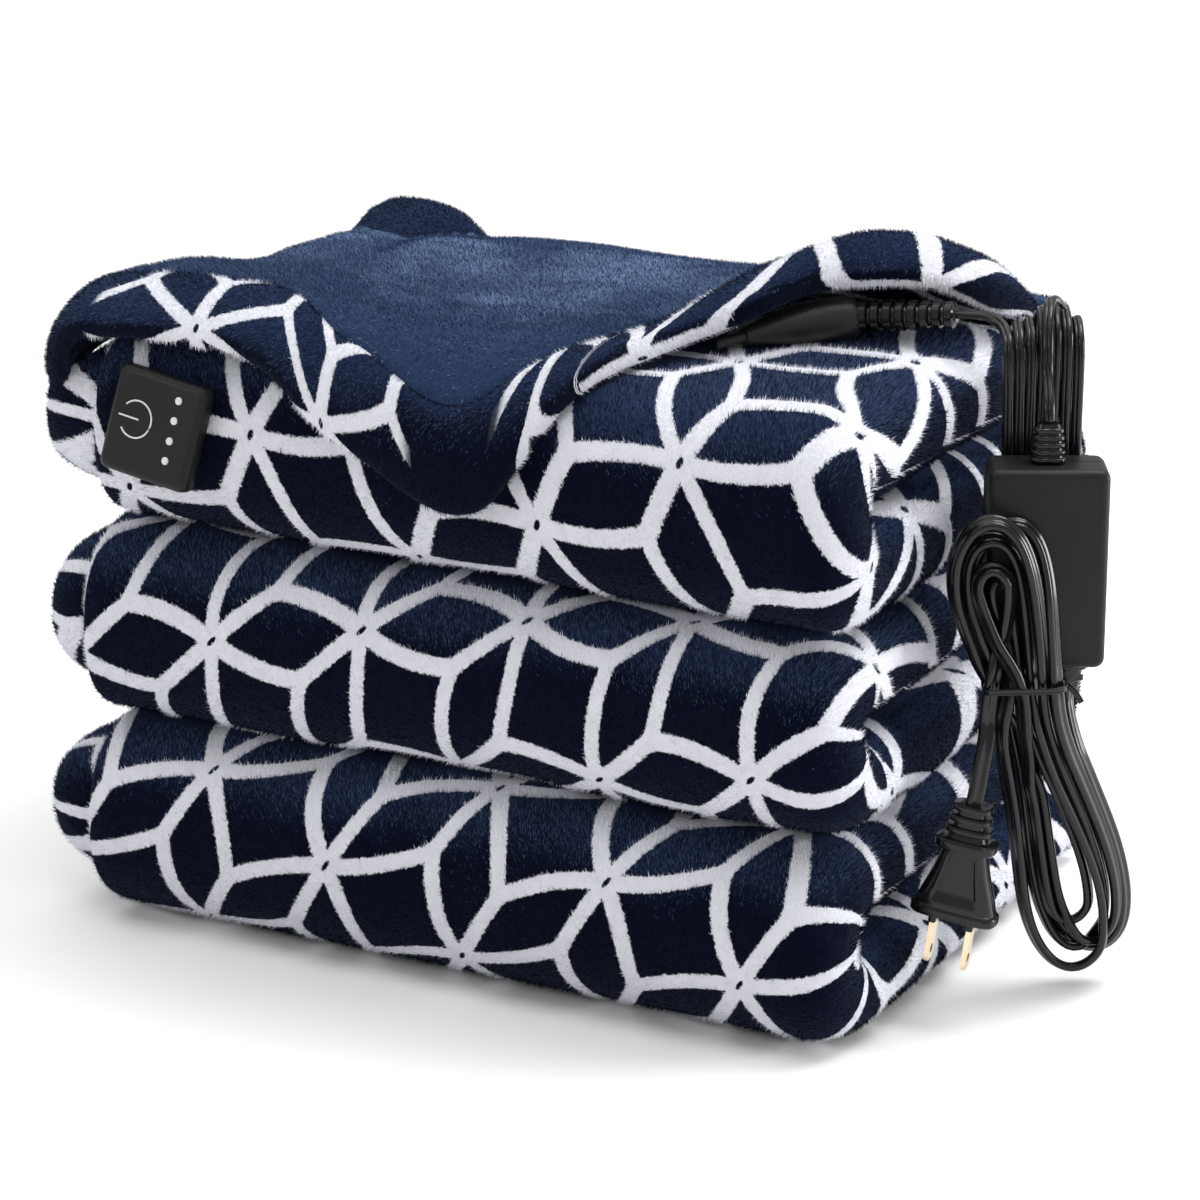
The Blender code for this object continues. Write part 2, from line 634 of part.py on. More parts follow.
def build_adapter(satin, black, collection, group):
    """Adapter box with a relief above and below, and the two short leads that leave them."""
    side, fore, height = (v / MM for v in ADAPTER_AT)
    case = rounded_box("adapter_case", ADAPTER, 2.6 * MM, satin, collection, group)
    case.location = local(side, fore, height)
    half, gap = ADAPTER[2] / 2 / MM, GAP / MM
    rows = relief_rows(5, 2.5, 4.6, 3.6, 0.2, 13.0)
    top = turned("adapter_relief_top", rows, 12, 0.72, black, collection, group)
    top.location = local(side, fore, height + half + gap + 13.0)
    rows = [(0.0, 6.2 * MM), (2.4 * MM, 6.2 * MM), (2.8 * MM, 4.6 * MM), (10.0 * MM, 3.4 * MM)]
    low = turned("adapter_relief_low", rows, 12, 0.72, black, collection, group)
    low.location = local(side + 9, fore, height - half - gap)
    z = height + half + gap * 3 + 13.0
    face = (DC_HANK_AT[1] + DC_HANK[1] / 2) / MM + gap * 3
    route = [local(side, fore, z), local(side, fore, z + 4.5), local(side, face + 3.6, z + 10.0),
             local(side, face, z + 11.2)]
    tube("dc_tail", route, DC_DIA / 2, 2.2 * MM, black, collection, group)
    z = height - half - gap * 3 - 10.0
    meet_z = 90.0
    meet_fore = hank_at(meet_z)[2] - HANK_THICK / MM / 2 - 2.9
    route = [local(side + 9, fore, z), local(side + 9, fore, z - 5), local(21.5, meet_fore - 1.5, meet_z + 5),
             local(21.5, meet_fore, meet_z)]
    tube("mains_lead", route, MAINS_DIA * 0.4, 3 * MM, black, collection, group)


def hank_at(z):
    """Middle, half width and fore place of the mains hank at a height, in mm."""
    rows = sorted(HANK_ROWS)
    zs = [r[0] for r in rows]
    return [float(np.interp(z, zs, [r[c] for r in rows])) for c in (1, 2, 3)]


def build_mains(black, brass, collection, group):
    """Mains hank, its tie, the plug lead, the plug and its blades."""
    right = [(mid + half, z) for z, mid, half, fore in HANK_ROWS]
    left = [(mid - half, z) for z, mid, half, fore in HANK_ROWS]
    outline = [(x * MM, z * MM) for x, z in left[::-1] + right]
    hank = outline_solid("mains_hank", outline, HANK_THICK, 2.6 * MM, black, collection, group)
    for vert in hank.data.vertices:
        x, z, y = vert.co
        vert.co = (x, -y - hank_at(z / MM)[2] * MM, z)
    build_tie(black, collection, group)
    side, fore, height = PLUG_AT
    turn = Matrix.Rotation(PLUG_LEAN, 4, "Y") @ Matrix.Rotation(PLUG_TURN, 4, "Z")
    place = Matrix.Translation(local(side, fore, height)) @ turn
    up = place.to_3x3() @ Vector((0, 0, 1))
    neck = place.translation + up * GAP
    start = local(*LEAD_TOP)
    tube("plug_lead", (start, start.lerp(neck, 0.4), neck + up * 7 * MM, neck), MAINS_DIA * 0.4, 4 * MM,
         black, collection, group)
    build_plug(place, black, brass, collection, group)


def build_tie(black, collection, group):
    """Thin wire tie round the waist of the mains hank, with its two short free ends."""
    mid, half, fore = hank_at(TIE_Z)
    rx, ry = half + 1.6, HANK_THICK / MM / 2 + 1.5
    path = []
    for i in range(28):
        a = 2 * math.pi * i / 28
        c, s = math.cos(a), math.sin(a)
        e = 2 / 5.0
        path.append(local(mid + rx * math.copysign(abs(c) ** e, c), fore + ry * math.copysign(abs(s) ** e, s),
                          TIE_Z + 0.6 * c))
    ring = tube("hank_tie", path, 0.8 * MM, 1, black, collection, group, closed=True, sides=1)
    knot = local(mid + rx, fore, TIE_Z)
    for across, out, drop in ((4.0, 2.0, -5.5), (6.0, -2.0, 2.0)):
        tip = local(mid + rx + across, fore + out, TIE_Z + drop)
        end = tube("tie_end", (knot, knot.lerp(tip, 0.5), tip), 0.78 * MM, 2 * MM, black, collection, group,
                   sides=1)
        join_union(ring, end)


def build_plug(place, black, brass, collection, group):
    """Two-blade plug: ribbed neck, collar, flared flat body; the blades are separate pieces."""
    bm = bmesh.new()
    rings = []
    for z, wide, thick in PLUG_ROWS:
        ring = []
        for i in range(16):
            a = 2 * math.pi * (i + 0.5) / 16
            c, s = math.cos(a), math.sin(a)
            ring.append(bm.verts.new((wide * math.copysign(math.sqrt(abs(c)), c) * MM,
                                      thick * math.copysign(math.sqrt(abs(s)), s) * MM, -z * MM)))
        rings.append(ring)
    for a, b in zip(rings, rings[1:]):
        for i in range(16):
            j = (i + 1) % 16
            bm.faces.new((a[i], a[j], b[j], b[i]))
    bm.faces.new(rings[0])
    bm.faces.new(rings[-1])
    bmesh.ops.recalc_face_normals(bm, faces=bm.faces)
    mesh = bpy.data.meshes.new("plug_body")
    bm.to_mesh(mesh)
    bm.free()
    body = add_object("plug_body", mesh, black, collection, group)
    body.matrix_local = place
    wide, thin, length = BLADE
    for sign, name in ((-1, "plug_blade_left"), (1, "plug_blade_right")):
        drop = PLUG_ROWS[-1][0] * MM + GAP + length / 2
        bm = bmesh.new()
        bmesh.ops.create_cube(bm, size=1.0)
        bmesh.ops.scale(bm, vec=Vector((thin, wide, length)), verts=bm.verts)
        tips = [e for e in bm.edges if max(v.co.z for v in e.verts) < 0
                and abs(e.verts[0].co.x - e.verts[1].co.x) > thin / 2]
        bmesh.ops.bevel(bm, geom=tips, offset=1.8 * MM, segments=3, profile=0.5, affect="EDGES")
        mesh = bpy.data.meshes.new(name)
        bm.to_mesh(mesh)
        bm.free()
        blade = add_object(name, mesh, brass, collection, group)
        blade.matrix_local = place @ Matrix.Translation((sign * BLADE_PITCH / 2, 0, -drop))
        bm = bmesh.new()
        bmesh.ops.create_cone(bm, segments=14, radius1=1.6 * MM, radius2=1.6 * MM, depth=6 * MM, cap_ends=True)
        mesh = bpy.data.meshes.new("hole_cutter")
        bm.to_mesh(mesh)
        bm.free()
        cutter = bpy.data.objects.new("hole_cutter", mesh)
        cutters().objects.link(cutter)
        cutter.parent = blade
        cutter.location = (0, 0, -length / 2 + 4.2 * MM)
        cutter.rotation_euler = (0, math.pi / 2, 0)
        cutter.hide_render = True
        cutter.display_type = "WIRE"
        hole = blade.modifiers.new("hole", "BOOLEAN")
        hole.operation = "DIFFERENCE"
        hole.solver = "EXACT"
        hole.object = cutter


def cutters():
    """Collection that holds the cutting solids."""
    found = bpy.data.collections.get("cutters")
    if found is None:
        found = bpy.data.collections.new("cutters")
        bpy.context.scene.collection.children.link(found)
    return found


def material(name, colour, roughness, metallic=0.0):
    """Principled material with plain values."""
    mat = bpy.data.materials.new(name)
    mat.use_nodes = True
    shader = mat.node_tree.nodes["Principled BSDF"]
    shader.inputs["Base Color"].default_value = (*colour, 1.0)
    shader.inputs["Roughness"].default_value = roughness
    shader.inputs["Metallic"].default_value = metallic
    return mat


def main():
    """Clear the scene and build every piece."""
    for obj in list(bpy.data.objects):
        bpy.data.objects.remove(obj)
    parts = bpy.data.collections.new(NAME)
    bpy.context.scene.collection.children.link(parts)
    plush = material("plush_cloth", (0.012, 0.024, 0.075), 0.9)
    satin = material("satin_plastic", (0.012, 0.012, 0.012), 0.45)
    rubber = material("cord_jacket", (0.01, 0.01, 0.01), 0.3)
    brass = material("blade_brass", (0.78, 0.62, 0.36), 0.25, 1.0)
    group = bpy.data.objects.new("hanging_group", None)
    parts.objects.link(group)
    group.location = HANG
    group.rotation_euler = (0, 0, HANG_YAW)
    stack = build_stack(plush, parts)
    join_union(stack, build_flap(plush, parts))
    build_controller(satin, parts)
    build_dc_line(rubber, parts, group)
    build_adapter(satin, rubber, parts, group)
    build_mains(rubber, brass, parts, group)


main()
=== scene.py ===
"""Looks of the folded electric heated blanket: plush cloth, cords, adapter, plug and controller."""
import json
import logging
import math
from dataclasses import dataclass, replace
from enum import Enum
from typing import Any, Dict, List, Optional, Sequence, Tuple

import bmesh
import bpy
import numpy as np
from mathutils import Matrix, Vector, noise
from mathutils.bvhtree import BVHTree


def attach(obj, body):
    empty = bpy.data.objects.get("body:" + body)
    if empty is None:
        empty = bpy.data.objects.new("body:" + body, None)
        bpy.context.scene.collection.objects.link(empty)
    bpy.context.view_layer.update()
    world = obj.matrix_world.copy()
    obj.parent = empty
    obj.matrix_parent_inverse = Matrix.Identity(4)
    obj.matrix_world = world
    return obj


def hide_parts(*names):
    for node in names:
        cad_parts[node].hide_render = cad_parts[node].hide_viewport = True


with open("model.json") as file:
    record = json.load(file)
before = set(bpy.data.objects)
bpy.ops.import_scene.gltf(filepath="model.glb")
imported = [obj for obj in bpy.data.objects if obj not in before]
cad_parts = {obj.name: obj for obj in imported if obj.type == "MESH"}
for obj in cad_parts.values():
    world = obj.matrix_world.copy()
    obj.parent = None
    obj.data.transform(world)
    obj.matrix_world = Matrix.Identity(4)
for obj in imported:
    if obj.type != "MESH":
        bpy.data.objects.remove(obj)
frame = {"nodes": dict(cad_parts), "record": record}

MM = 0.001
# seed of the noise that makes the cloth's surface uneven
NOISE_SEED = 1795551585
LOG = logging.getLogger("heated_blanket")
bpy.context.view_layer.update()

Colour = Tuple[float, float, float]
Place = Tuple[float, float, float]
Rows = Tuple[Tuple[float, ...], ...]


class NodeBench:
    """Adds nodes to one tree, its settings first and then the values or links of its sockets."""

    def __init__(self, tree: bpy.types.NodeTree) -> None:
        """Keep the tree that the nodes go into."""
        self.tree = tree

    def add(self, kind: str, settings: Optional[Dict[str, Any]] = None,
            inputs: Optional[Dict[Any, Any]] = None) -> bpy.types.Node:
        """Add one node.

        Args:
            kind: Node type.
            settings: Properties, set before the sockets.
            inputs: Socket name or number to a value, a socket or a Wire.

        Returns:
            The new node.
        """
        node = self.tree.nodes.new(kind)
        for key, value in (settings or {}).items():
            setattr(node, key, value)
        for key, value in (inputs or {}).items():
            self.feed(node.inputs[key], value)
        return node

    def feed(self, socket: bpy.types.NodeSocket, value: Any) -> None:
        """Set a socket's value or link it.

        Args:
            socket: Input to fill.
            value: Value, socket or Wire.
        """
        if isinstance(value, Wire):
            value = value.socket
        if isinstance(value, bpy.types.NodeSocket):
            self.tree.links.new(value, socket)
        else:
            socket.default_value = value

    def wire(self, socket: bpy.types.NodeSocket) -> "Wire":
        """Wrap an output for arithmetic."""
        return Wire(self, socket)

    def maths(self, operation: str, *values: Any) -> "Wire":
        """Add one Math node on the values."""
        node = self.add("ShaderNodeMath", {"operation": operation}, dict(enumerate(values)))
        return Wire(self, node.outputs[0])

    def blend(self, factor: Any, low: Any, high: Any) -> bpy.types.NodeSocket:
        """Mix two colours by a factor."""
        node = self.add("ShaderNodeMix", {"data_type": "RGBA"}, {0: factor, 6: low, 7: high})
        return node.outputs[2]

    def ease(self, value: Any, low: float, high: float, start: float = 0.0, end: float = 1.0) -> "Wire":
        """Smooth step of a value from low to high, onto start to end.

        Args:
            value: Number to map.
            low: Where it starts.
            high: Where it stops.
            start: Result at low.
            end: Result at high.

        Returns:
            The eased number.
        """
        node = self.add("ShaderNodeMapRange", {"interpolation_type": "SMOOTHSTEP"},
                        {0: value, 1: low, 2: high, 3: start, 4: end})
        return Wire(self, node.outputs[0])

    def shade(self, name: str) -> "Wire":
        """Number that a material reads from the mesh by its name."""
        return self.wire(self.add("ShaderNodeAttribute", {"attribute_name": name}).outputs["Fac"])

    def here(self) -> bpy.types.NodeSocket:
        """The point's place on its own object."""
        return self.add("ShaderNodeTexCoord").outputs["Object"]

    def stored(self, name: str) -> "Wire":
        """Number that a geometry tree reads from the mesh by its name."""
        node = self.add("GeometryNodeInputNamedAttribute", {"data_type": "FLOAT"}, {"Name": name})
        return self.wire(node.outputs[0])

    def stored_vector(self, name: str) -> bpy.types.NodeSocket:
        """Vector that a geometry tree reads from the mesh by its name."""
        kind = "GeometryNodeInputNamedAttribute"
        return self.add(kind, {"data_type": "FLOAT_VECTOR"}, {"Name": name}).outputs[0]

    def chance(self, low: float, high: float, seed: int) -> "Wire":
        """Random number of each point, between two ends."""
        node = self.add("FunctionNodeRandomValue", {"data_type": "FLOAT"}, {2: low, 3: high, "Seed": seed})
        return self.wire(node.outputs[1])

    def steps(self, operation: str, first: Any, second: Any) -> bpy.types.NodeSocket:
        """Vector Math on two values; the second of a scaling is its factor.

        Args:
            operation: What the node does.
            first: First vector.
            second: Second vector, or the factor.

        Returns:
            The new vector.
        """
        second_socket = "Scale" if operation == "SCALE" else 1
        node = self.add("ShaderNodeVectorMath", {"operation": operation}, {0: first, second_socket: second})
        return node.outputs[0]

    def bump(self, shader: bpy.types.Node, height: Any, strength: float, distance: float) -> None:
        """Feed a shader's Normal from a height.

        Args:
            shader: The shader.
            height: Height over the surface.
            strength: Strength of the bump.
            distance: Its full height in metres.
        """
        values = {"Strength": strength, "Distance": distance, "Height": height}
        node = self.add("ShaderNodeBump", None, values)
        self.feed(shader.inputs["Normal"], node.outputs[0])

    def vector(self, x: Any, y: Any, z: Any = 0.0) -> bpy.types.NodeSocket:
        """Combine three numbers into a vector."""
        return self.add("ShaderNodeCombineXYZ", None, {0: x, 1: y, 2: z}).outputs[0]

    def split(self, vector: Any) -> Tuple["Wire", "Wire", "Wire"]:
        """Split a vector into three wires."""
        node = self.add("ShaderNodeSeparateXYZ", None, {0: vector})
        return tuple(Wire(self, socket) for socket in node.outputs)

    def grain(self, vector: Any, scale: float, detail: float = 2.0, rough: float = 0.5) -> "Wire":
        """Noise value at a vector.

        Args:
            vector: Place.
            scale: Scale of the noise.
            detail: Octaves.
            rough: Share of the fine octaves.

        Returns:
            Value of the noise.
        """
        node = self.add("ShaderNodeTexNoise", None,
                        {"Vector": vector, "Scale": scale, "Detail": detail, "Roughness": rough})
        return Wire(self, node.outputs[0])


class Wire:
    """A number on a node's output; arithmetic on it adds Math nodes."""

    def __init__(self, bench: NodeBench, socket: bpy.types.NodeSocket) -> None:
        """Keep the tree's bench and the socket."""
        self.bench = bench
        self.socket = socket

    def __add__(self, other: Any) -> "Wire":
        """Sum."""
        return self.bench.maths("ADD", self, other)

    def __radd__(self, other: Any) -> "Wire":
        """Reflected sum."""
        return self.bench.maths("ADD", other, self)

    def __sub__(self, other: Any) -> "Wire":
        """Difference."""
        return self.bench.maths("SUBTRACT", self, other)

    def __rsub__(self, other: Any) -> "Wire":
        """Reflected difference."""
        return self.bench.maths("SUBTRACT", other, self)

    def __mul__(self, other: Any) -> "Wire":
        """Product."""
        return self.bench.maths("MULTIPLY", self, other)

    def __rmul__(self, other: Any) -> "Wire":
        """Reflected product."""
        return self.bench.maths("MULTIPLY", other, self)

    def __truediv__(self, other: Any) -> "Wire":
        """Quotient."""
        return self.bench.maths("DIVIDE", self, other)

    def __rtruediv__(self, other: Any) -> "Wire":
        """Reflected quotient."""
        return self.bench.maths("DIVIDE", other, self)

    def size(self) -> "Wire":
        """Absolute value."""
        return self.bench.maths("ABSOLUTE", self)

    def root(self) -> "Wire":
        """Square root."""
        return self.bench.maths("SQRT", self)

    def fold(self, half: float) -> "Wire":
        """Reflect back and forth between 0 and half."""
        return self.bench.maths("PINGPONG", self, half)

    def at_least(self, low: Any) -> "Wire":
        """The greater of two."""
        return self.bench.maths("MAXIMUM", self, low)

    def merge(self, other: Any, softness: float) -> "Wire":
        """Smooth minimum of two."""
        return self.bench.maths("SMOOTH_MIN", self, other, softness)


def new_material(name: str) -> Tuple[bpy.types.Material, NodeBench, bpy.types.Node]:
    """New node material, with a bench on its tree and its shader.

    Args:
        name: Its name.

    Returns:
        The material, the bench and the shader.
    """
    mat = bpy.data.materials.new(name)
    mat.use_nodes = True
    return mat, NodeBench(mat.node_tree), mat.node_tree.nodes["Principled BSDF"]


def set_sockets(shader: bpy.types.Node, values: Dict[str, Any]) -> None:
    """Set plain values of a shader's sockets."""
    for name, value in values.items():
        shader.inputs[name].default_value = value


@dataclass(frozen=True)
class Trellis:
    """Star trellis of the plush face, in millimetres and degrees.

    Stars lie on a centred grid, a stem joins each to a fork above and below, and two curved branches run from
    each fork to the next stars.
    """

    half_row: float = 30.0
    half_rise: float = 54.5
    stem: float = 28.5
    turning: float = 24.0
    line: float = 5.7
    eye: Tuple[float, float] = (1.0, 2.3)

    def circle(self) -> Tuple[float, float, float]:
        """Centre and radius of the branch from the fork (0, stem) to the star (half_row, half_rise).

        Returns:
            Centre's x and y, and the radius.
        """
        dx, dy = self.half_row, self.half_rise - self.stem
        chord = math.hypot(dx, dy)
        half = math.radians(self.turning) / 2
        radius = chord / 2 / math.sin(half)
        reach = radius * math.cos(half)
        return dx / 2 + dy / chord * reach, (self.stem + self.half_rise) / 2 - dx / chord * reach, radius

    def distance(self, x: Wire, y: Wire) -> Tuple[Wire, Wire]:
        """Distance to the nearest line's middle, and a measure of the star's eye that is 1 on its rim.

        Args:
            x: Place along the star rows, in millimetres.
            y: Place along the stems, in millimetres.

        Returns:
            The distance in millimetres and the eye measure.
        """
        cx, cy, radius = self.circle()
        near_x, near_y = x.fold(self.half_row), y.fold(self.half_rise)
        found, eyes = [], []
        for px, py in ((near_x, near_y), (self.half_row - near_x, self.half_rise - near_y)):
            over = (py - self.stem).at_least(0.0)
            found.append((px * px + over * over).root())
            ax, ay = px - cx, py - cy
            found.append(((ax * ax + ay * ay).root() - radius).size())
            ex, ey = px / self.eye[0], py / self.eye[1]
            eyes.append((ex * ex + ey * ey).root())
        away = found[0].merge(found[1], 1.6).merge(found[2].merge(found[3], 1.6), 1.2)
        return away, x.bench.maths("MINIMUM", eyes[0], eyes[1])


@dataclass(frozen=True)
class PlushFinish:
    """Short-pile plush: a navy ground with white trellis lines on the face and a plain slate-navy reverse."""

    # ground_light and back_light are lighter copies of the ground and the reverse; the blends use them for
    # random patches and as painted top light
    ground: Colour = (0.0016, 0.003, 0.010)
    ground_light: Colour = (0.016, 0.028, 0.072)
    line_colour: Colour = (0.76, 0.77, 0.82)
    back_dark: Colour = (0.020, 0.036, 0.085)
    back_light: Colour = (0.105, 0.158, 0.270)
    sheen: float = 0.10
    gloss: float = 0.04

    def material(self, trellis: Trellis) -> bpy.types.Material:
        """Build the cloth's material.

        Args:
            trellis: Pattern of the face.

        Returns:
            A material that reads the cloth's own UV maps and attributes.
        """
        mat, bench, shader = new_material("plush_cloth")
        place = bench.add("ShaderNodeUVMap", {"uv_map": "cloth"}).outputs[0]
        u, v, _ = bench.split(place)
        hairs = bench.grain(bench.vector(u * 2600.0, v * 900.0), 1.0, 3.0, 0.6)
        tufts = bench.grain(place, 620.0)
        patches = bench.grain(place, 26.0, 3.0, 0.55)
        px, py, _ = bench.split(bench.add("ShaderNodeUVMap", {"uv_map": "trellis"}).outputs[0])
        away, eye = trellis.distance(px * 100.0, py * 100.0)
        ragged = away + (hairs - 0.5) * 2.4 + (tufts - 0.5) * 1.6
        lines = bench.ease(ragged, trellis.line / 2 + 0.28, trellis.line / 2 - 0.28)
        lines = lines * bench.ease(eye + (hairs - 0.5) * 0.5, 0.75, 1.1)
        reverse, bare, painted_top_light = [bench.shade(name) for name in ("reverse", "bare", "painted_top_light")]
        lines = lines * bench.ease(reverse + (tufts - 0.5) * 0.3, 0.62, 0.38) * (1.0 - bare)
        # navy tone: random patches and hairs, plus painted top light on cloth that faces up
        tone = bench.ease(patches * 0.8 + hairs * 0.35 + painted_top_light * 0.75, 0.75, 1.6)
        ground = bench.blend(tone, (*self.ground, 1.0), (*self.ground_light, 1.0))
        white = bench.blend(hairs, (*[c * 0.82 for c in self.line_colour], 1.0), (*self.line_colour, 1.0))
        front = bench.blend(lines, ground, white)
        # painted shade: inner is 0 near the hem band and on the strip's reverse, and 1 far up the turned
        # corner, so the reverse is drawn darker towards the band's valley
        inner = bench.ease(0.0 - v, 0.032, 0.105)
        # reverse tone: random patches and hairs, painted top light on cloth that faces up, and the painted
        # shade near the band
        slate_patches_and_light = bench.ease(patches * 1.1 + hairs * 0.4 + painted_top_light * 0.35 + (inner - 1.0) * 0.55, 0.7, 1.35)
        back = bench.blend(slate_patches_and_light, (*self.back_dark, 1.0), (*self.back_light, 1.0))
        bench.feed(shader.inputs["Base Color"], bench.blend(bench.ease(reverse, 0.55, 0.75), front, back))
        set_sockets(shader, {"Roughness": 0.95, "Specular IOR Level": self.gloss, "Sheen Weight": self.sheen,
                             "Sheen Roughness": 0.45, "Sheen Tint": (0.45, 0.58, 0.95, 1.0)})
        bench.bump(shader, hairs * 0.7 + tufts * 0.9 + patches * 0.6, 0.55, 0.0012)
        return mat


@dataclass(frozen=True)
class PlasticFinish:
    """Moulded black plastic or cord jacket with fine surface grain."""

    name: str
    colour: Colour
    rough: float
    grain_scale: float = 900.0
    relief: float = 0.1
    coat: float = 0.0
    metallic: float = 0.0
    gloss: float = 0.25

    def material(self) -> bpy.types.Material:
        """Build the material on Object coordinates.

        Returns:
            The material.
        """
        mat, bench, shader = new_material(self.name)
        place = bench.here()
        fine = bench.grain(place, self.grain_scale)
        wide = bench.grain(place, 45.0)
        low = tuple(c * 0.75 for c in self.colour)
        high = tuple(min(1.0, c * 1.25 + 0.001) for c in self.colour)
        bench.feed(shader.inputs["Base Color"], bench.blend(wide, (*low, 1.0), (*high, 1.0)))
        bench.feed(shader.inputs["Roughness"], self.rough + (wide - 0.5) * 0.12 + (fine - 0.5) * 0.06)
        set_sockets(shader, {"Specular IOR Level": self.gloss, "Coat Weight": self.coat,
                             "Coat Roughness": 0.12, "Metallic": self.metallic})
        bench.bump(shader, fine, self.relief, 0.0002)
        return mat


def smooth(t: np.ndarray) -> np.ndarray:
    """Ease from 0 to 1."""
    t = np.clip(t, 0.0, 1.0)
    return t * t * (3 - 2 * t)


def eased(t: float) -> float:
    """Ease one number from 0 to 1."""
    return float(smooth(np.array(t)))


def run_of(rows: np.ndarray) -> np.ndarray:
    """Distance of every point from the first, along the points."""
    return np.concatenate([[0.0], np.cumsum(np.linalg.norm(np.diff(rows, axis=0), axis=1))])


def unit(rows: np.ndarray) -> np.ndarray:
    """The vectors at length one."""
    return rows / np.maximum(np.linalg.norm(rows, axis=-1, keepdims=True), 1e-9)


def read_at(place: Any, places: np.ndarray, rows: np.ndarray) -> np.ndarray:
    """Rows read at one place or at many, each column between its neighbours."""
    return np.stack([np.interp(place, places, rows[:, c]) for c in range(rows.shape[1])], axis=-1)


def ring_faces(rings: int, count: int) -> List[Tuple[int, ...]]:
    """Four-sided faces that join equal rings of points in order.

    Args:
        rings: Number of rings.
        count: Points in each.

    Returns:
        Corners of each face.
    """
    pairs = [(i, (i + 1) % count) for i in range(count)]
    return [(o + i, o + j, o + count + j, o + count + i)
            for o in range(0, (rings - 1) * count, count) for i, j in pairs]


def end_faces(rings: int, count: int) -> List[Tuple[int, ...]]:
    """Faces that close the first and the last ring."""
    return [tuple(range(count)), tuple(range((rings - 1) * count, rings * count))]


def new_mesh(name: str, points: np.ndarray, faces: List[Tuple[int, ...]]) -> bpy.types.Mesh:
    """Smooth-shaded mesh of points and faces.

    Args:
        name: Its name.
        points: Rows of points.
        faces: Corners of each face.

    Returns:
        The mesh.
    """
    mesh = bpy.data.meshes.new(name)
    mesh.from_pydata([tuple(p) for p in points], [], faces)
    mesh.polygons.foreach_set("use_smooth", [True] * len(mesh.polygons))
    return mesh


def store_uv(mesh: bpy.types.Mesh, label: str, values: np.ndarray) -> None:
    """Store a UV map from one row for each point.

    Args:
        mesh: Mesh that takes the map.
        label: Name of the map.
        values: Two numbers for each point.
    """
    corners = np.zeros(len(mesh.loops), np.int32)
    mesh.loops.foreach_get("vertex_index", corners)
    mesh.uv_layers.new(name=label).data.foreach_set("uv", values[corners].astype(np.float32).ravel())


def face_outward(mesh: bpy.types.Mesh, merge: float = 0.0) -> None:
    """Turn all faces outward, after merging points that lie closer than a distance.

    Args:
        mesh: Mesh to turn.
        merge: The distance; 0 merges none.
    """
    bm = bmesh.new()
    bm.from_mesh(mesh)
    if merge:
        bmesh.ops.remove_doubles(bm, verts=bm.verts, dist=merge)
    bmesh.ops.recalc_face_normals(bm, faces=bm.faces)
    bm.to_mesh(mesh)
    bm.free()


def placed(name: str, data: bpy.types.ID) -> bpy.types.Object:
    """New object in the scene that shows some data.

    Args:
        name: Its name.
        data: What it shows.

    Returns:
        The object.
    """
    obj = bpy.data.objects.new(name, data)
    bpy.context.scene.collection.objects.link(obj)
    return obj


def dressed(obj: bpy.types.Object, material: bpy.types.Material, slot: str) -> bpy.types.Object:
    """Give a piece its finish, and let it ride on the one body.

    Args:
        obj: The piece.
        material: Its finish.
        slot: Not used.

    Returns:
        The same piece.
    """
    obj.data.materials.append(material)
    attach(obj, "root")
    return obj


@dataclass
class Surface:
    """One stretch of cloth: points, faces, flat and trellis places, side, places with no line, nap."""

    points: np.ndarray
    faces: List[Tuple[int, ...]]
    cloth: np.ndarray
    trellis: np.ndarray
    reverse: np.ndarray
    bare: np.ndarray
    nap: np.ndarray

    def joined(self, other: "Surface") -> "Surface":
        """Both surfaces as one.

        Args:
            other: The other surface.

        Returns:
            One surface.
        """
        shift = len(self.points)
        faces = self.faces + [tuple(i + shift for i in face) for face in other.faces]
        both = {name: np.concatenate([getattr(self, name), getattr(other, name)])
                for name in ("points", "cloth", "trellis", "reverse", "bare", "nap")}
        return Surface(faces=faces, **both)

    def waved(self, height: float, scale: float) -> "Surface":
        """The surface in a gently uneven field, as soft cloth lies; its underside stays flat.

        Args:
            height: Most that a point moves, in metres.
            scale: Waves per metre.

        Returns:
            The surface with its points moved.
        """
        places = [Vector(p) * scale for p in self.points]
        moved = np.array([noise.noise_vector(p) + noise.noise_vector(p * 2.3) * 0.4 for p in places])
        hold = smooth(self.points[:, 2] / (14 * MM))[:, None]
        points = self.points + moved * hold * height
        return replace(self, points=points)

    def to_object(self, name: str) -> bpy.types.Object:
        """Make the mesh object, faces outward, with its UV maps and attributes.

        Args:
            name: Object name.

        Returns:
            The linked object.
        """
        mesh = new_mesh(name, self.points, self.faces)
        store_uv(mesh, "cloth", self.cloth)
        store_uv(mesh, "trellis", self.trellis)
        for label, values in (("reverse", self.reverse), ("bare", self.bare)):
            layer = mesh.attributes.new(label, "FLOAT", "POINT")
            layer.data.foreach_set("value", np.asarray(values, np.float32))
        nap = mesh.attributes.new("nap", "FLOAT_VECTOR", "POINT")
        nap.data.foreach_set("vector", np.asarray(self.nap, np.float32).ravel())
        face_outward(mesh)
        self.paint_top_light(mesh)
        return placed(name, mesh)

    def paint_top_light(self, mesh: bpy.types.Mesh) -> None:
        """Store painted top light, which lightens the pile's colour: most on cloth that faces up, least on
        steep fronts.

        Args:
            mesh: Mesh that takes the attribute.
        """
        normals = np.zeros(len(mesh.vertices) * 3, np.float32)
        mesh.vertex_normals.foreach_get("vector", normals)
        up = normals.reshape(-1, 3)[:, 2]
        # painted top light: the more a point faces up, the lighter its pile is drawn
        layer = mesh.attributes.new("painted_top_light", "FLOAT", "POINT")
        layer.data.foreach_set("value", smooth((up + 0.05) / 0.95).astype(np.float32))


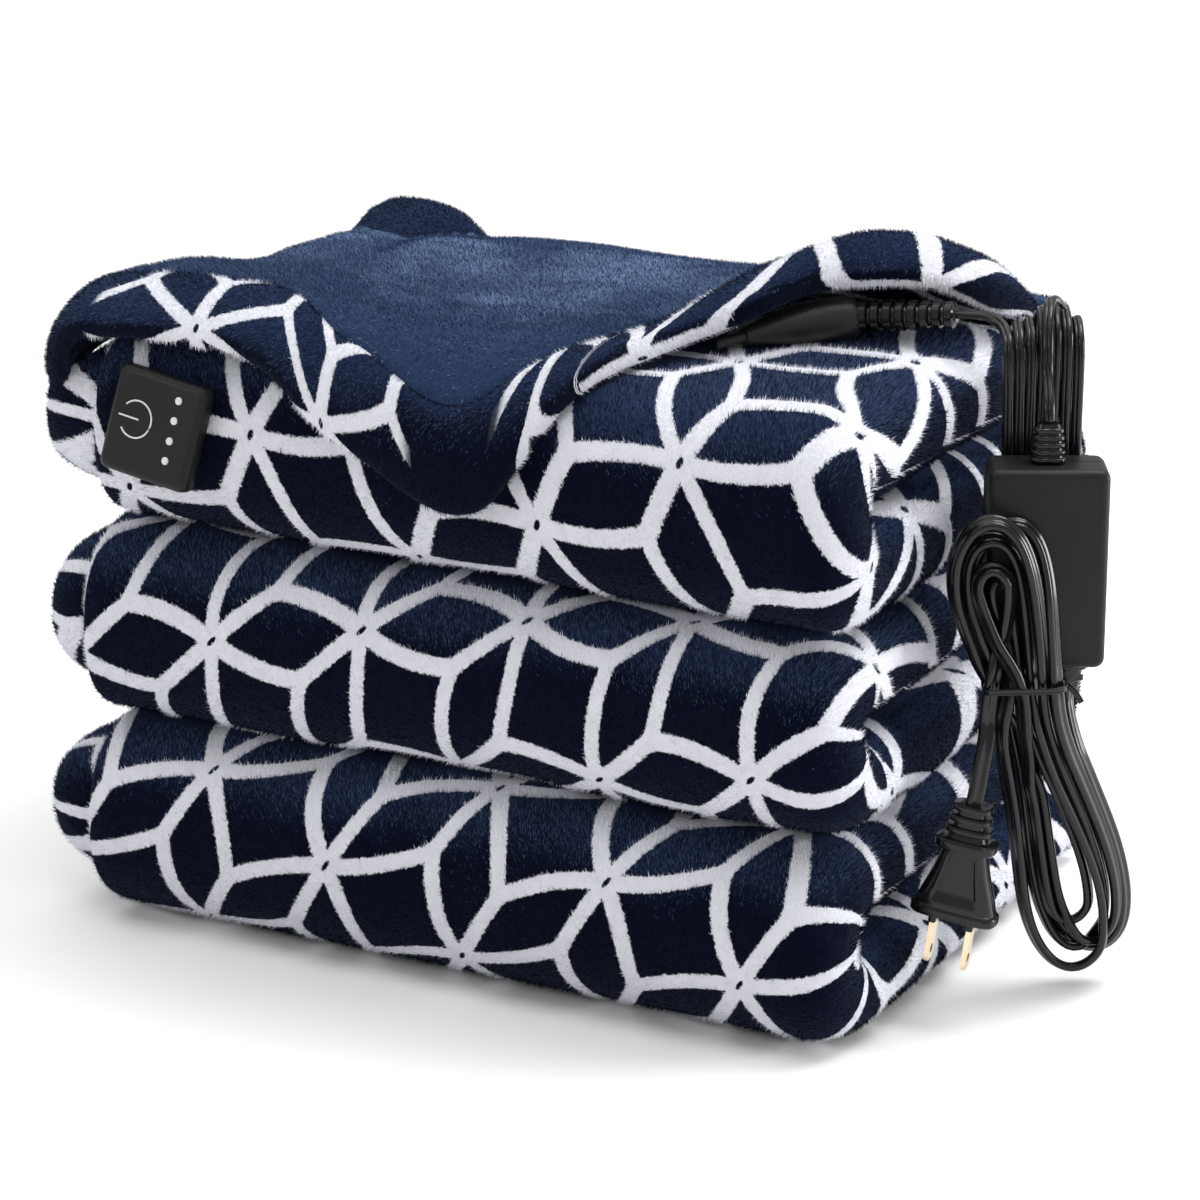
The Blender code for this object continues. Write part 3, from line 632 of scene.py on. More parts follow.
@dataclass
class FoldedStrip:
    """Cloth rolled into four plies across its width and laid back and forth in six passes. Metres."""

    ply: float = 8.6 * MM
    ply_gap: float = 0.35 * MM
    pass_gap: float = 0.8 * MM
    left: float = -151.5 * MM
    right: float = 151.5 * MM
    front: float = -115 * MM
    back: float = 113 * MM
    bend: float = 36 * MM
    power: float = 2.35
    hem_back: float = 14.5 * MM
    flap_pull: float = 7.5 * MM
    levels_left: Tuple[float, ...] = (0.0, 36.6, 73.8, 110.2, 146.2, 181.5, 217.2)
    levels_right: Tuple[float, ...] = (0.0, 36.2, 72.8, 106.8, 141.2, 179.0, 217.2)
    straight: int = 9
    turns: int = 18

    @property
    def step(self) -> float:
        """Ply and the air beside it."""
        return self.ply + self.ply_gap

    @property
    def half(self) -> float:
        """Half the rolled section's thickness."""
        return 1.5 * self.step + self.ply / 2

    @property
    def rim(self) -> float:
        """Radius of the left rim."""
        return self.step + self.ply / 2

    def level(self, k: int, x: Any) -> Any:
        """Height of the seam under pass k at x."""
        w = np.clip((x - self.left) / (self.right - self.left), 0.0, 1.0)
        return (self.levels_left[k] * (1 - w) + self.levels_right[k] * w) * MM

    def top_drop(self, x: Any, y: Any) -> Any:
        """How far the top pass has sunk below its full height.

        Args:
            x: Place across the stack.
            y: Place from front to back.

        Returns:
            The drop in metres.
        """
        back = 0.013 * smooth((y - 0.02) / 0.075) * (1 - 0.5 * smooth((-x - 0.082) / 0.02))
        left = 0.010 * smooth((-x - 0.060) / 0.055) * smooth((y + 0.070) / 0.075)
        return back + left * (1 - smooth((y - 0.074) / 0.022))

    def end_y(self, x: Any) -> Any:
        """Where the top pass ends at the back."""
        return 0.088 + 0.018 * smooth((-x - 0.08) / 0.05)

    def bend_arc(self, theta: Any) -> Tuple[Any, Any]:
        """Squared-off half circle, as raised cosine and sine.

        Args:
            theta: Angle, 0 at the bend's middle.

        Returns:
            Share outward and share upward.
        """
        c, s = np.cos(theta), np.sin(theta)
        e = 2 / self.power
        return np.abs(c) ** e, np.sign(s) * np.abs(s) ** e

    def seam(self, p: int, up: bool, x: Any, y: Any) -> Any:
        """Height of one face of pass p.

        Args:
            p: Pass, counted from below.
            up: Whether it is the upper face.
            x: Place across the stack.
            y: Place from front to back.

        Returns:
            Height in metres.
        """
        z = self.level(p + 1, x) - self.pass_gap if up else self.level(p, x)
        if p == 5 and up:
            z = z - self.top_drop(x, y)
        return z + 0.0 * y

    def rails(self, x: np.ndarray) -> Tuple[np.ndarray, np.ndarray]:
        """Side A and side B of the strip at every station.

        Args:
            x: Places across the stack.

        Returns:
            Two arrays of stations x (y, z) x places.
        """
        a_rows, b_rows = [], []
        y_f, y_b = self.front + self.bend, self.back - self.bend
        for p in range(6):
            forward = p % 2 == 0
            first = y_b + (0.030 if p == 0 else 0.0)
            ends = (first, y_f) if forward else (y_f, y_b)
            for i in range(self.straight + 2):
                w = i / (self.straight + 1)
                if p == 5:
                    y = y_f + (self.end_y(x) - y_f) * w
                else:
                    y = ends[0] + (ends[1] - ends[0]) * w + 0.0 * x
                a_rows.append((y, self.seam(p, not forward, x, y)))
                b_rows.append((y, self.seam(p, forward, x, y)))
            if p == 5:
                break
            low_z, high_z = self.seam(p, False, x, y), self.seam(p + 1, True, x, y)
            in_lo, in_hi = self.seam(p, True, x, y), self.seam(p + 1, False, x, y)
            mid, half = (low_z + high_z) / 2, (high_z - low_z) / 2
            in_mid, in_half = (in_lo + in_hi) / 2, (in_hi - in_lo) / 2
            side = -1 if forward else 1
            base = y_f if forward else y_b
            for i in range(1, self.turns):
                t = -math.pi / 2 + math.pi * i / self.turns
                c, s = self.bend_arc(t)
                out = (base + side * self.bend * c, mid + half * s)
                inn = (base + side * in_half * math.cos(t), in_mid + in_half * math.sin(t))
                (a_rows if forward else b_rows).append(out)
                (b_rows if forward else a_rows).append(inn)
        a, b = [np.array([(y + 0 * x, z + 0 * x) for y, z in rows]) for rows in (a_rows, b_rows)]
        return a, b

    def flat_ply(self, x0: float, x1: float, n: float, sign: int,
                 count: int) -> List[Tuple[float, ...]]:
        """Rows of face x and height, reverse x and height, of one ply; sign is 1 where its face is up."""
        places = [x0 + (x1 - x0) * i / (count - 1) for i in range(count)]
        return [(x, n + sign * self.ply / 2, x, n - sign * self.ply / 2) for x in places]

    def end_turn(self, cx: float, cn: float, r: float, a0: float, a1: float,
                 wrap: int) -> List[Tuple[float, ...]]:
        """Face and reverse points of one turn of the roll.

        Args:
            cx: Centre's place across the stack.
            cn: Centre's height.
            r: Radius of the ply's middle.
            a0: Angle before the first point.
            a1: Angle after the last point.
            wrap: Number of steps.

        Returns:
            Rows of face x, face height, reverse x, reverse height.
        """
        out, inn = r + self.ply / 2, r - self.ply / 2
        angles = [a0 + (a1 - a0) * i / wrap for i in range(1, wrap)]
        ways = [(math.cos(a), math.sin(a)) for a in angles]
        return [(cx + out * c, cn + out * s, cx + inn * c, cn + inn * s) for c, s in ways]

    def section(self, outer: int = 44, inner: int = 22,
                wrap: int = 14) -> Tuple[np.ndarray, np.ndarray, np.ndarray]:
        """Face and reverse sides of the rolled section, and the run along its middle.

        Args:
            outer: Points along each of the two outer plies.
            inner: Points along each of the two inner plies.
            wrap: Points round each end turn.

        Returns:
            Face points, reverse points as (x, height) rows, and distances from the hem.
        """
        xr, xl = self.right - self.half, self.left + self.rim
        n1, n2 = 1.5 * self.step, 0.5 * self.step
        hem = self.left + self.hem_back + 0.6 * self.ply
        rows: List[Tuple[float, ...]] = []
        rows += self.flat_ply(hem, xr, n1, 1, outer)
        rows += self.end_turn(xr, 0, n1, math.pi / 2, -math.pi / 2, wrap)
        rows += self.flat_ply(xr, xl, -n1, -1, outer)
        rows += self.end_turn(xl, -n2, self.step, -math.pi / 2, -3 * math.pi / 2, wrap)
        rows += self.flat_ply(xl, xr, n2, 1, inner)
        rows += self.end_turn(xr, 0, n2, math.pi / 2, -math.pi / 2, wrap)
        rows += self.flat_ply(xr, xl + 2 * MM, -n2, -1, inner)
        both = np.array(rows)
        face, reverse = both[:, :2], both[:, 2:]
        middle = (face + reverse) / 2
        return face, reverse, run_of(middle)

    def end_shift(self, station: float) -> Tuple[float, float]:
        """How far the left rim and the right roll wander; station is the share along the strip.

        Args:
            station: Share along the strip.

        Returns:
            Shift at the left and at the right.
        """
        right = 2.2 * math.sin(2 * math.pi * (2.6 * station + 0.1))
        right += 1.2 * math.sin(2 * math.pi * 7.3 * station)
        left = 1.6 * math.sin(2 * math.pi * (3.1 * station + 0.35))
        pull = eased((station - 0.79) / 0.035) * self.flap_pull / MM
        return (left + pull) * MM, right * MM

    def coarse_share(self, k: int) -> float:
        """Share along the strip of station k, counted as the solid's own stations are.

        Args:
            k: Station.

        Returns:
            Share along the strip.
        """
        per_pass, per_bend = self.straight + 1, self.turns
        step, left = divmod(k, per_pass + per_bend)
        if left <= per_pass:
            coarse = step * 10 + 3 * left / per_pass
        else:
            coarse = step * 10 + 3 + 7 * (left - per_pass) / per_bend
        return coarse / 53

    def slip(self, k: int, t: np.ndarray) -> np.ndarray:
        """Share of side A in the run of each section point, as the plies slip on each other in a bend.

        Args:
            k: Station.
            t: Share of the way from side B to side A.

        Returns:
            Share of side A's run.
        """
        step, left = divmod(k, self.straight + 1 + self.turns)
        turned = max(0, left - self.straight - 1) / self.turns if step % 2 else 0.0
        share = eased(turned)
        return smooth(t / 0.3) * (1 - share) + smooth((t - 0.7) / 0.3) * share

    def rim_bulge(self, k: int) -> float:
        """How far the left rim stands out past the hem at station k: most at the front bends.

        Args:
            k: Station.

        Returns:
            Distance in metres.
        """
        step, left = divmod(k, self.straight + 1 + self.turns)
        turned = (left - self.straight - 1) / self.turns
        if turned <= 0 or step % 2:
            return (3.0 if step < 5 else 0.0) * MM
        if step == 4:
            way = turned * 180 - 90
            return (3.0 + 12.0 * eased((way + 95) / 50)) * (1 - eased((way - 34) / 40)) * MM
        return (3.0 + (7.0, 4.0)[step // 2] * math.sin(math.pi * turned)) * MM

    def build(self) -> Surface:
        """The folded strip as one closed surface.

        Returns:
            The surface.
        """
        face, reverse, run = self.section()
        caps = []
        for i in (0, -1):
            a, mid = face[i], (face[i] + reverse[i]) / 2
            crisp = 0.45 if i == 0 else 0.8
            caps.append([(mid[0] - self.ply / 2 * crisp * c, mid[1] + (a[1] - mid[1]) * t)
                         for t, c in ((0.86, 0.7), (0.4, 1.0), (-0.4, 1.0), (-0.86, 0.7))])
        start_cap, end_cap = np.array(caps[0]), np.array(caps[1])
        ring = np.vstack([face, end_cap, reverse[::-1], start_cap[::-1]])
        n, cap = len(face), len(start_cap)
        runs = np.concatenate([run, np.full(cap, run[-1] + 0.003), run[::-1], np.full(cap, -0.003)])
        sides = np.concatenate([np.zeros(n), np.linspace(0.2, 0.8, cap),
                                np.ones(n), np.linspace(0.8, 0.2, cap)])
        lo, hi = ring[:, 0].min(), ring[:, 0].max()
        a0, b0 = self.rails(np.array([0.0]))
        count, m = len(a0), len(ring)
        v_a, v_b = run_of(a0[:, :, 0]), run_of(b0[:, :, 0])
        points, flat, bare = np.zeros((count, m, 3)), np.zeros((count, m, 2)), np.zeros((count, m))
        t = (ring[:, 1] + self.half) / (2 * self.half)
        hem = self.left + self.hem_back
        at_end = smooth((ring[:, 0] - self.right + self.half) / (4 * MM))
        for k in range(count):
            dl, dr = self.end_shift(self.coarse_share(k))
            w = (ring[:, 0] - lo) / (hi - lo)
            x = ring[:, 0] + dl * (1 - w) ** 2 + dr * w ** 3
            x = x - self.rim_bulge(k) * smooth((hem - ring[:, 0]) / (hem - lo))
            a, b = self.rails(x)
            yz = b[k].T * (1 - t[:, None]) + a[k].T * t[:, None]
            points[k] = np.column_stack([x, yz])
            slip = self.slip(k, t)
            flat[k] = np.column_stack([runs, v_b[k] * (1 - slip) + v_a[k] * slip])
            apart = eased((abs(v_a[k] - v_b[k]) / MM - 8) / 30)
            bare[k] = apart * at_end * smooth(slip / 0.05) * smooth((1 - slip) / 0.12)
        faces = ring_faces(count, m)
        for k in (0, count - 1):
            o = k * m
            for i in range(n - 1):
                mirror = 2 * n + cap - 1 - i
                faces.append((o + i, o + i + 1, o + mirror - 1, o + mirror))
            faces.append((o + n - 1, *[o + n + c for c in range(cap)], o + n + cap))
            faces.append((o, *[o + 2 * n + 2 * cap - 1 - c for c in range(cap)], o + 2 * n + cap - 1))
        flat = flat.reshape(-1, 2)
        nap = unit(np.gradient(points, axis=0))
        return Surface(points.reshape(-1, 3), faces, flat, TrellisPrint().place(flat),
                       np.tile(sides, count), bare.ravel(), nap.reshape(-1, 3))

    def profile(self, x: float, count: int = 60) -> Tuple[np.ndarray, np.ndarray, np.ndarray]:
        """Top line of the stack at x: its points, distances from the bend's end, and normals.

        Args:
            x: Place across the stack.
            count: Points on the bend and on the top.

        Returns:
            Points as (y, height), distances, normals.
        """
        c, s = self.bend_arc(np.linspace(0, math.pi / 2, count))
        z_top, z_low = self.level(6, x) - self.pass_gap, self.level(4, x)
        mid, half = (z_top + z_low) / 2, (z_top - z_low) / 2
        y_f = self.front + self.bend
        bend = np.stack([y_f - self.bend * c, mid + half * s], 1)
        ys = np.linspace(y_f, self.end_y(x), count)[1:]
        top = np.stack([ys, z_top - self.top_drop(x, ys)], 1)
        pts = np.vstack([np.array([[self.front + 0.001, mid - 0.02]]), bend, top])
        u = run_of(pts)
        tan = unit(np.gradient(pts, axis=0))
        return pts, u - u[count], np.stack([-tan[:, 1], tan[:, 0]], 1)

    def over(self, across: float, along: float, off: float) -> np.ndarray:
        """Point at a height over the stack; past the ends it turns down round the rolls.

        Args:
            across: Place across the stack.
            along: Distance from the bend's end.
            off: Height over the top.

        Returns:
            The point.
        """
        xr, xl = self.right - self.half, self.left + self.rim + self.flap_pull
        x = min(max(across, xl), xr)
        dn, dx = 0.0, 0.0
        if across > xr:
            r = self.half + off
            a = (across - xr) / (self.half + 5 * MM)
            dx, dn = r * math.sin(a), r * math.cos(a) - self.half - off
        elif across < xl:
            depth = self.half + 0.5 * self.step
            a = (xl - across) / (self.rim + 6 * MM)
            dx = -(self.rim + self.ply * 0.6 + off * 0.25) * math.sin(a)
            dn = (depth + off) * (math.cos(a) - 1)
        pts, u, nor = self.profile(x)
        p = read_at(along, u, pts) + unit(read_at(along, u, nor)) * (off + dn)
        return np.array((x + dx, p[0], p[1]))


@dataclass(frozen=True)
class TrellisPrint:
    """How the trellis lies on the flat cloth: a slanted grid at each front bend, eased to the next."""

    # end of the bend below and start of this one along the strip (mm), then the grid's x and y rows
    grids: Tuple[Tuple[float, float, Tuple[float, float, float], Tuple[float, float, float]], ...] = (
        (0.0, 0.0, (0.918, -0.564, 111.8), (0.4195, 0.805, -239.2)),
        (303.0, 617.0, (0.693, -0.748, 320.3), (0.841, 0.465, -303.9)),
        (731.0, 1045.0, (0.76, -0.341, -59.7), (0.601, 0.887, -531.5)),
    )

    def place(self, flat: np.ndarray) -> np.ndarray:
        """Trellis coordinates, in units of 100 mm, of flat cloth points in metres.

        Args:
            flat: Rows of flat points.

        Returns:
            Rows of trellis coordinates.
        """
        u, v = flat[:, 0] * 1000, flat[:, 1] * 1000
        out = np.zeros_like(flat)
        for low, high, *rows in self.grids:
            share = smooth((v - low) / (high - low)) if high else np.ones(len(v))
            for c, (along_u, along_v, shift) in enumerate(rows):
                out[:, c] = out[:, c] * (1 - share) + (along_u * u + along_v * v + shift) * share
        return out / 100


@dataclass
class TurnedCorner:
    """The cloth's corner turned back over the stack with its reverse up and a hem band of the face."""

    strip: FoldedStrip
    thick: float = 8.0 * MM
    crest_at: float = 0.30
    columns: int = 150
    # the dark knob at the back: centre and radii across and along
    knob: Tuple[float, float, float, float] = (-122 * MM, 106 * MM, 40 * MM, 27 * MM)
    # distances along the edge, in millimetres: end of the curl, tip with no line, ends of the print's parts
    curl_end: float = 44.0
    plain_tip: Tuple[float, float] = (186.0, 222.0)
    print_ends: Tuple[float, float] = (204.0, 264.0)
    # depths of the sheet's columns from the free edge, in millimetres
    depths: Tuple[float, ...] = (0, 1.2, 3, 5.5, 9, 13, 17, 21, 24.5, 27.2, 29, 30, 30.6, 31.4, 33, 36)
    nose_steps: int = 7
    # across, along, height of the sheet's middle, further crest, where it meets the crease; millimetres
    edge: Rows = (
        (-160, -44, 6, 0, -134), (-148, -33, 8, 0, -130), (-133, -27, 10, 0, -124),
        (-110, -26.5, 12, 0, -115), (-88.9, -26.6, 12, 0, -105), (-66, -27, 12, 0, -94),
        (-49.9, -32.5, 10, 0, -82), (-33.5, -43.2, 8, 0, -66), (-16, -49, 7, 0, -50),
        (-1.5, -56.7, 6.2, 0, -34), (16, -63.5, 6, 0, -16), (30, -58.5, 6, 0, 2), (41.5, -43.6, 6, 0, 20),
        (50, -30, 6, 0, 38), (58.6, -13, 6, 1, 54), (63.5, 8, 7.5, 3, 70), (73, 27, 12, 7, 86),
        (89, 41, 17.5, 11, 101), (103, 64, 22.5, 13, 115), (123.4, 73, 24, 12, 128),
        (134, 80, 22.5, 9, 136), (141, 92, 16.5, 5, 140.5), (144.5, 110, 9.5, 1.5, 143.5),
    )

    def edge_at(self, count: int) -> np.ndarray:
        """The edge table read at even steps along the edge, lightly rounded.

        Args:
            count: Number of rows.

        Returns:
            The rows.
        """
        table = np.array(self.edge) * MM
        run = run_of(table[:, :2])
        rows = read_at(np.linspace(0, 1, count), run / run[-1], table)
        for _ in range(10):
            rows[1:-1] = rows[1:-1] * 0.5 + (rows[:-2] + rows[2:]) * 0.25
        return rows

    def line_at(self, row: np.ndarray, samples: int = 46) -> np.ndarray:
        """Middle line of the sheet from its free edge back to the crease, for one row of the edge table.

        Args:
            row: One row of the edge table.
            samples: Points on its open stretch.

        Returns:
            Rows of points.
        """
        across, along, off, crest, back = row
        _, u, _ = self.strip.profile(min(max(back, self.strip.left), self.strip.right))
        rest = self.thick / 2 + 1.2 * MM
        line = []
        for j in range(samples):
            t = j / (samples - 1)
            rise = t / self.crest_at if t < self.crest_at else 1 - (t - self.crest_at) / (1 - self.crest_at)
            height = off + (rest - off) * eased(t / 0.8) + crest * eased(rise)
            way = t ** 1.45
            x, run = across + (back - across) * way, along + (u[-1] - along) * way
            line.append(self.strip.over(x, run, height))
        end = line[-1]
        for dy, dz in ((4.6, -1.6), (5.2, -6.0), (1.0, -9.2), (-7.0, -9.6)):
            line.append(end + np.array((0, dy * MM, dz * MM)))
        return np.array(line)

    def build(self) -> Surface:
        """The turned-back corner as a closed surface with a rounded edge.

        Returns:
            The surface.
        """
        rows = self.edge_at(self.columns)
        lines = [self.line_at(row) for row in rows]
        grid, reach = [], []
        for line in lines:
            run = run_of(line)
            total = run[-1]
            scale = min(1.0, total * 0.72 / (self.depths[-1] * MM))
            near = np.array(self.depths) * MM * scale
            far = near[-1] + (total - near[-1]) * np.linspace(0, 1, 37)[1:]
            at = np.concatenate([near, far])
            grid.append(read_at(at, run, line))
            reach.append(at)
        mid, reach = np.array(grid), np.array(reach)
        mid[:, :, 2] += self.folds(mid, reach)
        cols, depth = mid.shape[:2]
        nor = unit(np.cross(np.gradient(mid, axis=0), np.gradient(mid, axis=1)))
        if nor[cols // 2, depth // 3, 2] < 0:
            nor = -nor
        d = reach / MM
        half = np.full((cols, depth), self.thick / 2)
        swell = np.clip(1 - ((d - 15.0) / 15.4) ** 4, 0, None)
        top_lift = 1.0 * MM * swell - 1.1 * MM * np.exp(-((d - 30.8) / 0.9) ** 2)
        thin = np.interp(np.arange(depth), [0, depth - 6, depth - 1], [1.0, 1.0, 0.5])
        top = mid + nor * (half * thin + top_lift)[:, :, None]
        low = mid - nor * (half * thin)[:, :, None]
        out = unit(mid[:, 0] - mid[:, 1])
        nose = []
        for a in np.radians(np.linspace(72, -72, self.nose_steps)):
            c, s = math.cos(a), math.sin(a)
            nose.append(mid[:, 0] + (out * c * 0.95 + nor[:, 0] * s) * self.thick / 2)
        loop = np.concatenate([top[:, ::-1], np.stack(nose, 1), low], axis=1)
        m = loop.shape[1]
        edge_run = run_of(mid[:, 0])
        steps = self.nose_steps
        round_nose = np.tile(np.linspace(-2.0, 8.0, steps) * MM, (cols, 1))
        depth_of = np.concatenate([-3 * MM - reach[:, ::-1] * 0.9, round_nose, 9 * MM + reach], axis=1)
        past_hem = np.where(d[:, ::-1] > 30.8, 1.0, 0.0)
        side = np.concatenate([past_hem, np.zeros((cols, steps + depth))], axis=1)
        x, y, rx, ry = self.knob
        from_knob = np.hypot((loop[:, :, 0] - x) / rx, (loop[:, :, 1] - y) / ry)
        knob = 1 - smooth((from_knob - 1.0) / 0.12)
        side = side * (1 - knob)
        flat = np.stack([np.repeat(edge_run[:, None], m, 1), depth_of], axis=2).reshape(-1, 2)
        faces = ring_faces(cols, m)
        for i in (0, cols - 1):
            for j in range(m // 2 - 1):
                faces.append((i * m + j, i * m + j + 1, i * m + m - 2 - j, i * m + m - 1 - j))
        run = flat[:, 0] / MM
        low, high = self.plain_tip
        bare = smooth((run - low) / 2.0) * (1 - smooth((run - high) / 2.0))
        near_knob = 1 - smooth((from_knob - 1.25) / 0.12)
        bare = np.maximum(bare, near_knob.ravel())
        bare = np.maximum(bare, 1 - smooth((run - self.curl_end) / 2.0))
        return Surface(loop.reshape(-1, 3), faces, flat, self.print_at(flat), side.ravel(), bare,
                       unit(np.gradient(loop, axis=1)).reshape(-1, 3))

    def folds(self, mid: np.ndarray, reach: np.ndarray) -> np.ndarray:
        """Soft folds and small puckers of the reverse, as heights over the sheet's middle.

        Args:
            mid: Grid of points.
            reach: Distance of each from the free edge.

        Returns:
            Heights in metres.
        """
        out = np.zeros(reach.shape)
        for i in range(reach.shape[0]):
            for j in range(reach.shape[1]):
                x, y, _ = mid[i, j]
                inside = eased((reach[i, j] - 0.030) / 0.016)
                ahead = eased((reach[i, -1] - reach[i, j]) / 0.02)
                broad = noise.noise(Vector((x * 16 - y * 7, x * 9 + y * 26, 0.7)))
                small = noise.noise(Vector((x * 40 + y * 12, y * 75 - x * 16, 3.1)))
                out[i, j] = (broad * 3.0 + small * 1.1) * MM * inside * ahead
        return out

    def print_at(self, flat: np.ndarray) -> np.ndarray:
        """Trellis coordinates, in units of 100 mm: rows along the first edge, stems along the second.

        Args:
            flat: Rows of run and depth in metres.

        Returns:
            Rows of trellis coordinates.
        """
        run, over = flat[:, 0] * 1000, -flat[:, 1] * 1000
        first = np.column_stack([run - 149.2, (over - 3.0) * 1.45])
        second = np.column_stack([(over + 6.0) * 30.0 / 39.0, run - 294.5])
        tip = np.column_stack([run - 243.0, (37.0 - over) * 0.9])
        tip_at, second_at = self.print_ends
        along = run[:, None]
        return np.where(along < tip_at, first, np.where(along < second_at, tip, second)) / 100


class Yarn(Enum):
    """Which fibres of the pile a batch holds."""

    WHITE = "white"
    GROUND = "ground"
    # lighter navy fibres: random patches and painted top light
    NAVY_PATCHES_AND_LIGHT = "navy_patches_and_light"
    REVERSE = "reverse"
    # lighter slate fibres: random patches and painted top light
    SLATE_PATCHES_AND_LIGHT = "slate_patches_and_light"


@dataclass
class PlushPile:
    """Short fibres that stand on the cloth's open surfaces and lean with the nap. Metres."""

    trellis: Trellis
    length: float = 2.0 * MM
    width: float = 0.24 * MM
    lean: float = 0.85
    spread: float = 0.42

    def mark_open(self, cloth: bpy.types.Object, reach: float = 7 * MM) -> float:
        """Store on each face whether the air over it is free.

        Args:
            cloth: The cloth.
            reach: Air that a fibre needs.

        Returns:
            The free area in square metres.
        """
        mesh = cloth.data
        tree = BVHTree.FromPolygons([v.co for v in mesh.vertices], [p.vertices for p in mesh.polygons])
        free = np.zeros(len(mesh.polygons), np.float32)
        for i, face in enumerate(mesh.polygons):
            start = face.center + face.normal * 0.2 * MM
            if start.z > 2.5 * MM and tree.ray_cast(start, face.normal, reach)[0] is None:
                free[i] = 1.0
        mark = mesh.attributes.new("open", "FLOAT", "FACE")
        mark.data.foreach_set("value", free)
        return float(sum(f.area for f, w in zip(mesh.polygons, free) if w))

    def tree(self, yarn: Yarn, material: bpy.types.Material) -> bpy.types.NodeTree:
        """Build the node tree that plants one batch of fibres.

        Args:
            yarn: Which fibres it plants.
            material: Finish of the fibres.

        Returns:
            A geometry tree with inputs Density, Length, Width, Lean, Spread and Seed.
        """
        tree = bpy.data.node_groups.new("plant_" + yarn.value, "GeometryNodeTree")
        tree.interface.new_socket("Geometry", in_out="INPUT", socket_type="NodeSocketGeometry")
        for name, kind in (("Density", "Float"), ("Length", "Float"), ("Width", "Float"), ("Lean", "Float"),
                           ("Spread", "Float"), ("Seed", "Int")):
            tree.interface.new_socket(name, in_out="INPUT", socket_type="NodeSocket" + kind)
        tree.interface.new_socket("Geometry", in_out="OUTPUT", socket_type="NodeSocketGeometry")
        bench = NodeBench(tree)
        given = bench.add("NodeGroupInput").outputs
        density = bench.wire(given["Density"]) * bench.stored("open")
        points = bench.add("GeometryNodeDistributePointsOnFaces", {"distribute_method": "RANDOM"},
                           {"Mesh": given["Geometry"], "Density": density, "Seed": given["Seed"]})
        chosen = self.choice(bench, yarn)
        kept = bench.add("GeometryNodeDeleteGeometry", {"domain": "POINT", "mode": "ALL"},
                         {"Geometry": points.outputs["Points"], "Selection": chosen.socket})
        stray = bench.add("FunctionNodeRandomValue", {"data_type": "FLOAT_VECTOR"},
                          {0: (-1.0, -1.0, -1.0), 1: (1.0, 1.0, 1.0), "Seed": 7})
        leaning = bench.steps("SCALE", bench.stored_vector("nap"), given["Lean"])
        loose = bench.steps("SCALE", stray.outputs[0], given["Spread"])
        way = bench.steps("ADD", bench.steps("ADD", points.outputs["Normal"], leaning), loose)
        facing = bench.add("FunctionNodeAlignRotationToVector", {"axis": "Z"}, {"Vector": way})
        about = bench.add("FunctionNodeAxisAngleToRotation", None,
                          {0: (0.0, 0.0, 1.0), 1: bench.chance(0.0, 6.283, 11)})
        spun = bench.add("FunctionNodeRotateRotation", {"rotation_space": "LOCAL"},
                         {0: facing.outputs[0], 1: about.outputs[0]})
        size = bench.chance(0.6, 1.15, 3)
        blade = bench.add("GeometryNodeMeshCircle", {"fill_type": "NGON"}, {"Vertices": 3, "Radius": 1.0})
        tall = bench.vector(bench.wire(given["Length"]) / 1.5, bench.wire(given["Width"]) / 1.732, 1.0)
        shaped = bench.add("GeometryNodeTransform", None, {"Geometry": blade.outputs[0], "Scale": tall})
        raised = bench.add("GeometryNodeTransform", None,
                           {"Geometry": shaped.outputs[0], "Rotation": (0.0, -math.pi / 2, 0.0),
                            "Translation": bench.vector(0.0, 0.0, bench.wire(given["Length"]) * 0.28)})
        planted = bench.add("GeometryNodeInstanceOnPoints", None,
                            {"Points": kept.outputs[0], "Instance": raised.outputs[0],
                             "Rotation": spun.outputs[0], "Scale": bench.vector(size, size, size)})
        real = bench.add("GeometryNodeRealizeInstances", None, {0: planted.outputs[0]})
        dressed = bench.add("GeometryNodeSetMaterial", None, {0: real.outputs[0], "Material": material})
        out = bench.add("NodeGroupOutput")
        bench.feed(out.inputs[0], dressed.outputs[0])
        return tree

    def choice(self, bench: NodeBench, yarn: Yarn) -> Wire:
        """Wire that is true on the points which a batch leaves out.

        Args:
            bench: Bench on the batch's tree.
            yarn: Which fibres it plants.

        Returns:
            The wire.
        """
        back = bench.maths("GREATER_THAN", bench.stored("reverse"), 0.6)
        chance = bench.chance(0.0, 1.0, 9)
        painted_top_light = bench.stored("painted_top_light")
        spot = bench.add("GeometryNodeInputPosition").outputs[0]
        patch = bench.grain(spot, 24.0)
        if yarn is Yarn.REVERSE:
            return 1.0 - back
        if yarn is Yarn.SLATE_PATCHES_AND_LIGHT:
            # painted top light with random patches: more lighter slate fibres where the reverse faces up
            share = bench.ease(patch + painted_top_light * 0.2, 0.45, 0.85)
            return 1.0 - back * bench.maths("LESS_THAN", chance, share)
        bare = bench.stored("bare")
        x, y, _ = bench.split(bench.stored_vector("trellis"))
        away, eye = self.trellis.distance(x * 100.0, y * 100.0)
        line = bench.maths("LESS_THAN", away + bench.chance(-0.45, 0.45, 5), self.trellis.line / 2)
        line = line * bench.maths("GREATER_THAN", eye, 0.9) * bench.maths("LESS_THAN", bare, 0.5)
        wanted = line if yarn is Yarn.WHITE else 1.0 - line
        if yarn is Yarn.NAVY_PATCHES_AND_LIGHT:
            # painted top light with random patches: more lighter navy fibres where the cloth faces up
            share = bench.ease(patch * 0.7 + painted_top_light * 0.8, 0.4, 1.1)
            wanted = wanted * bench.maths("LESS_THAN", chance, share)
        return 1.0 - wanted * (1.0 - back)

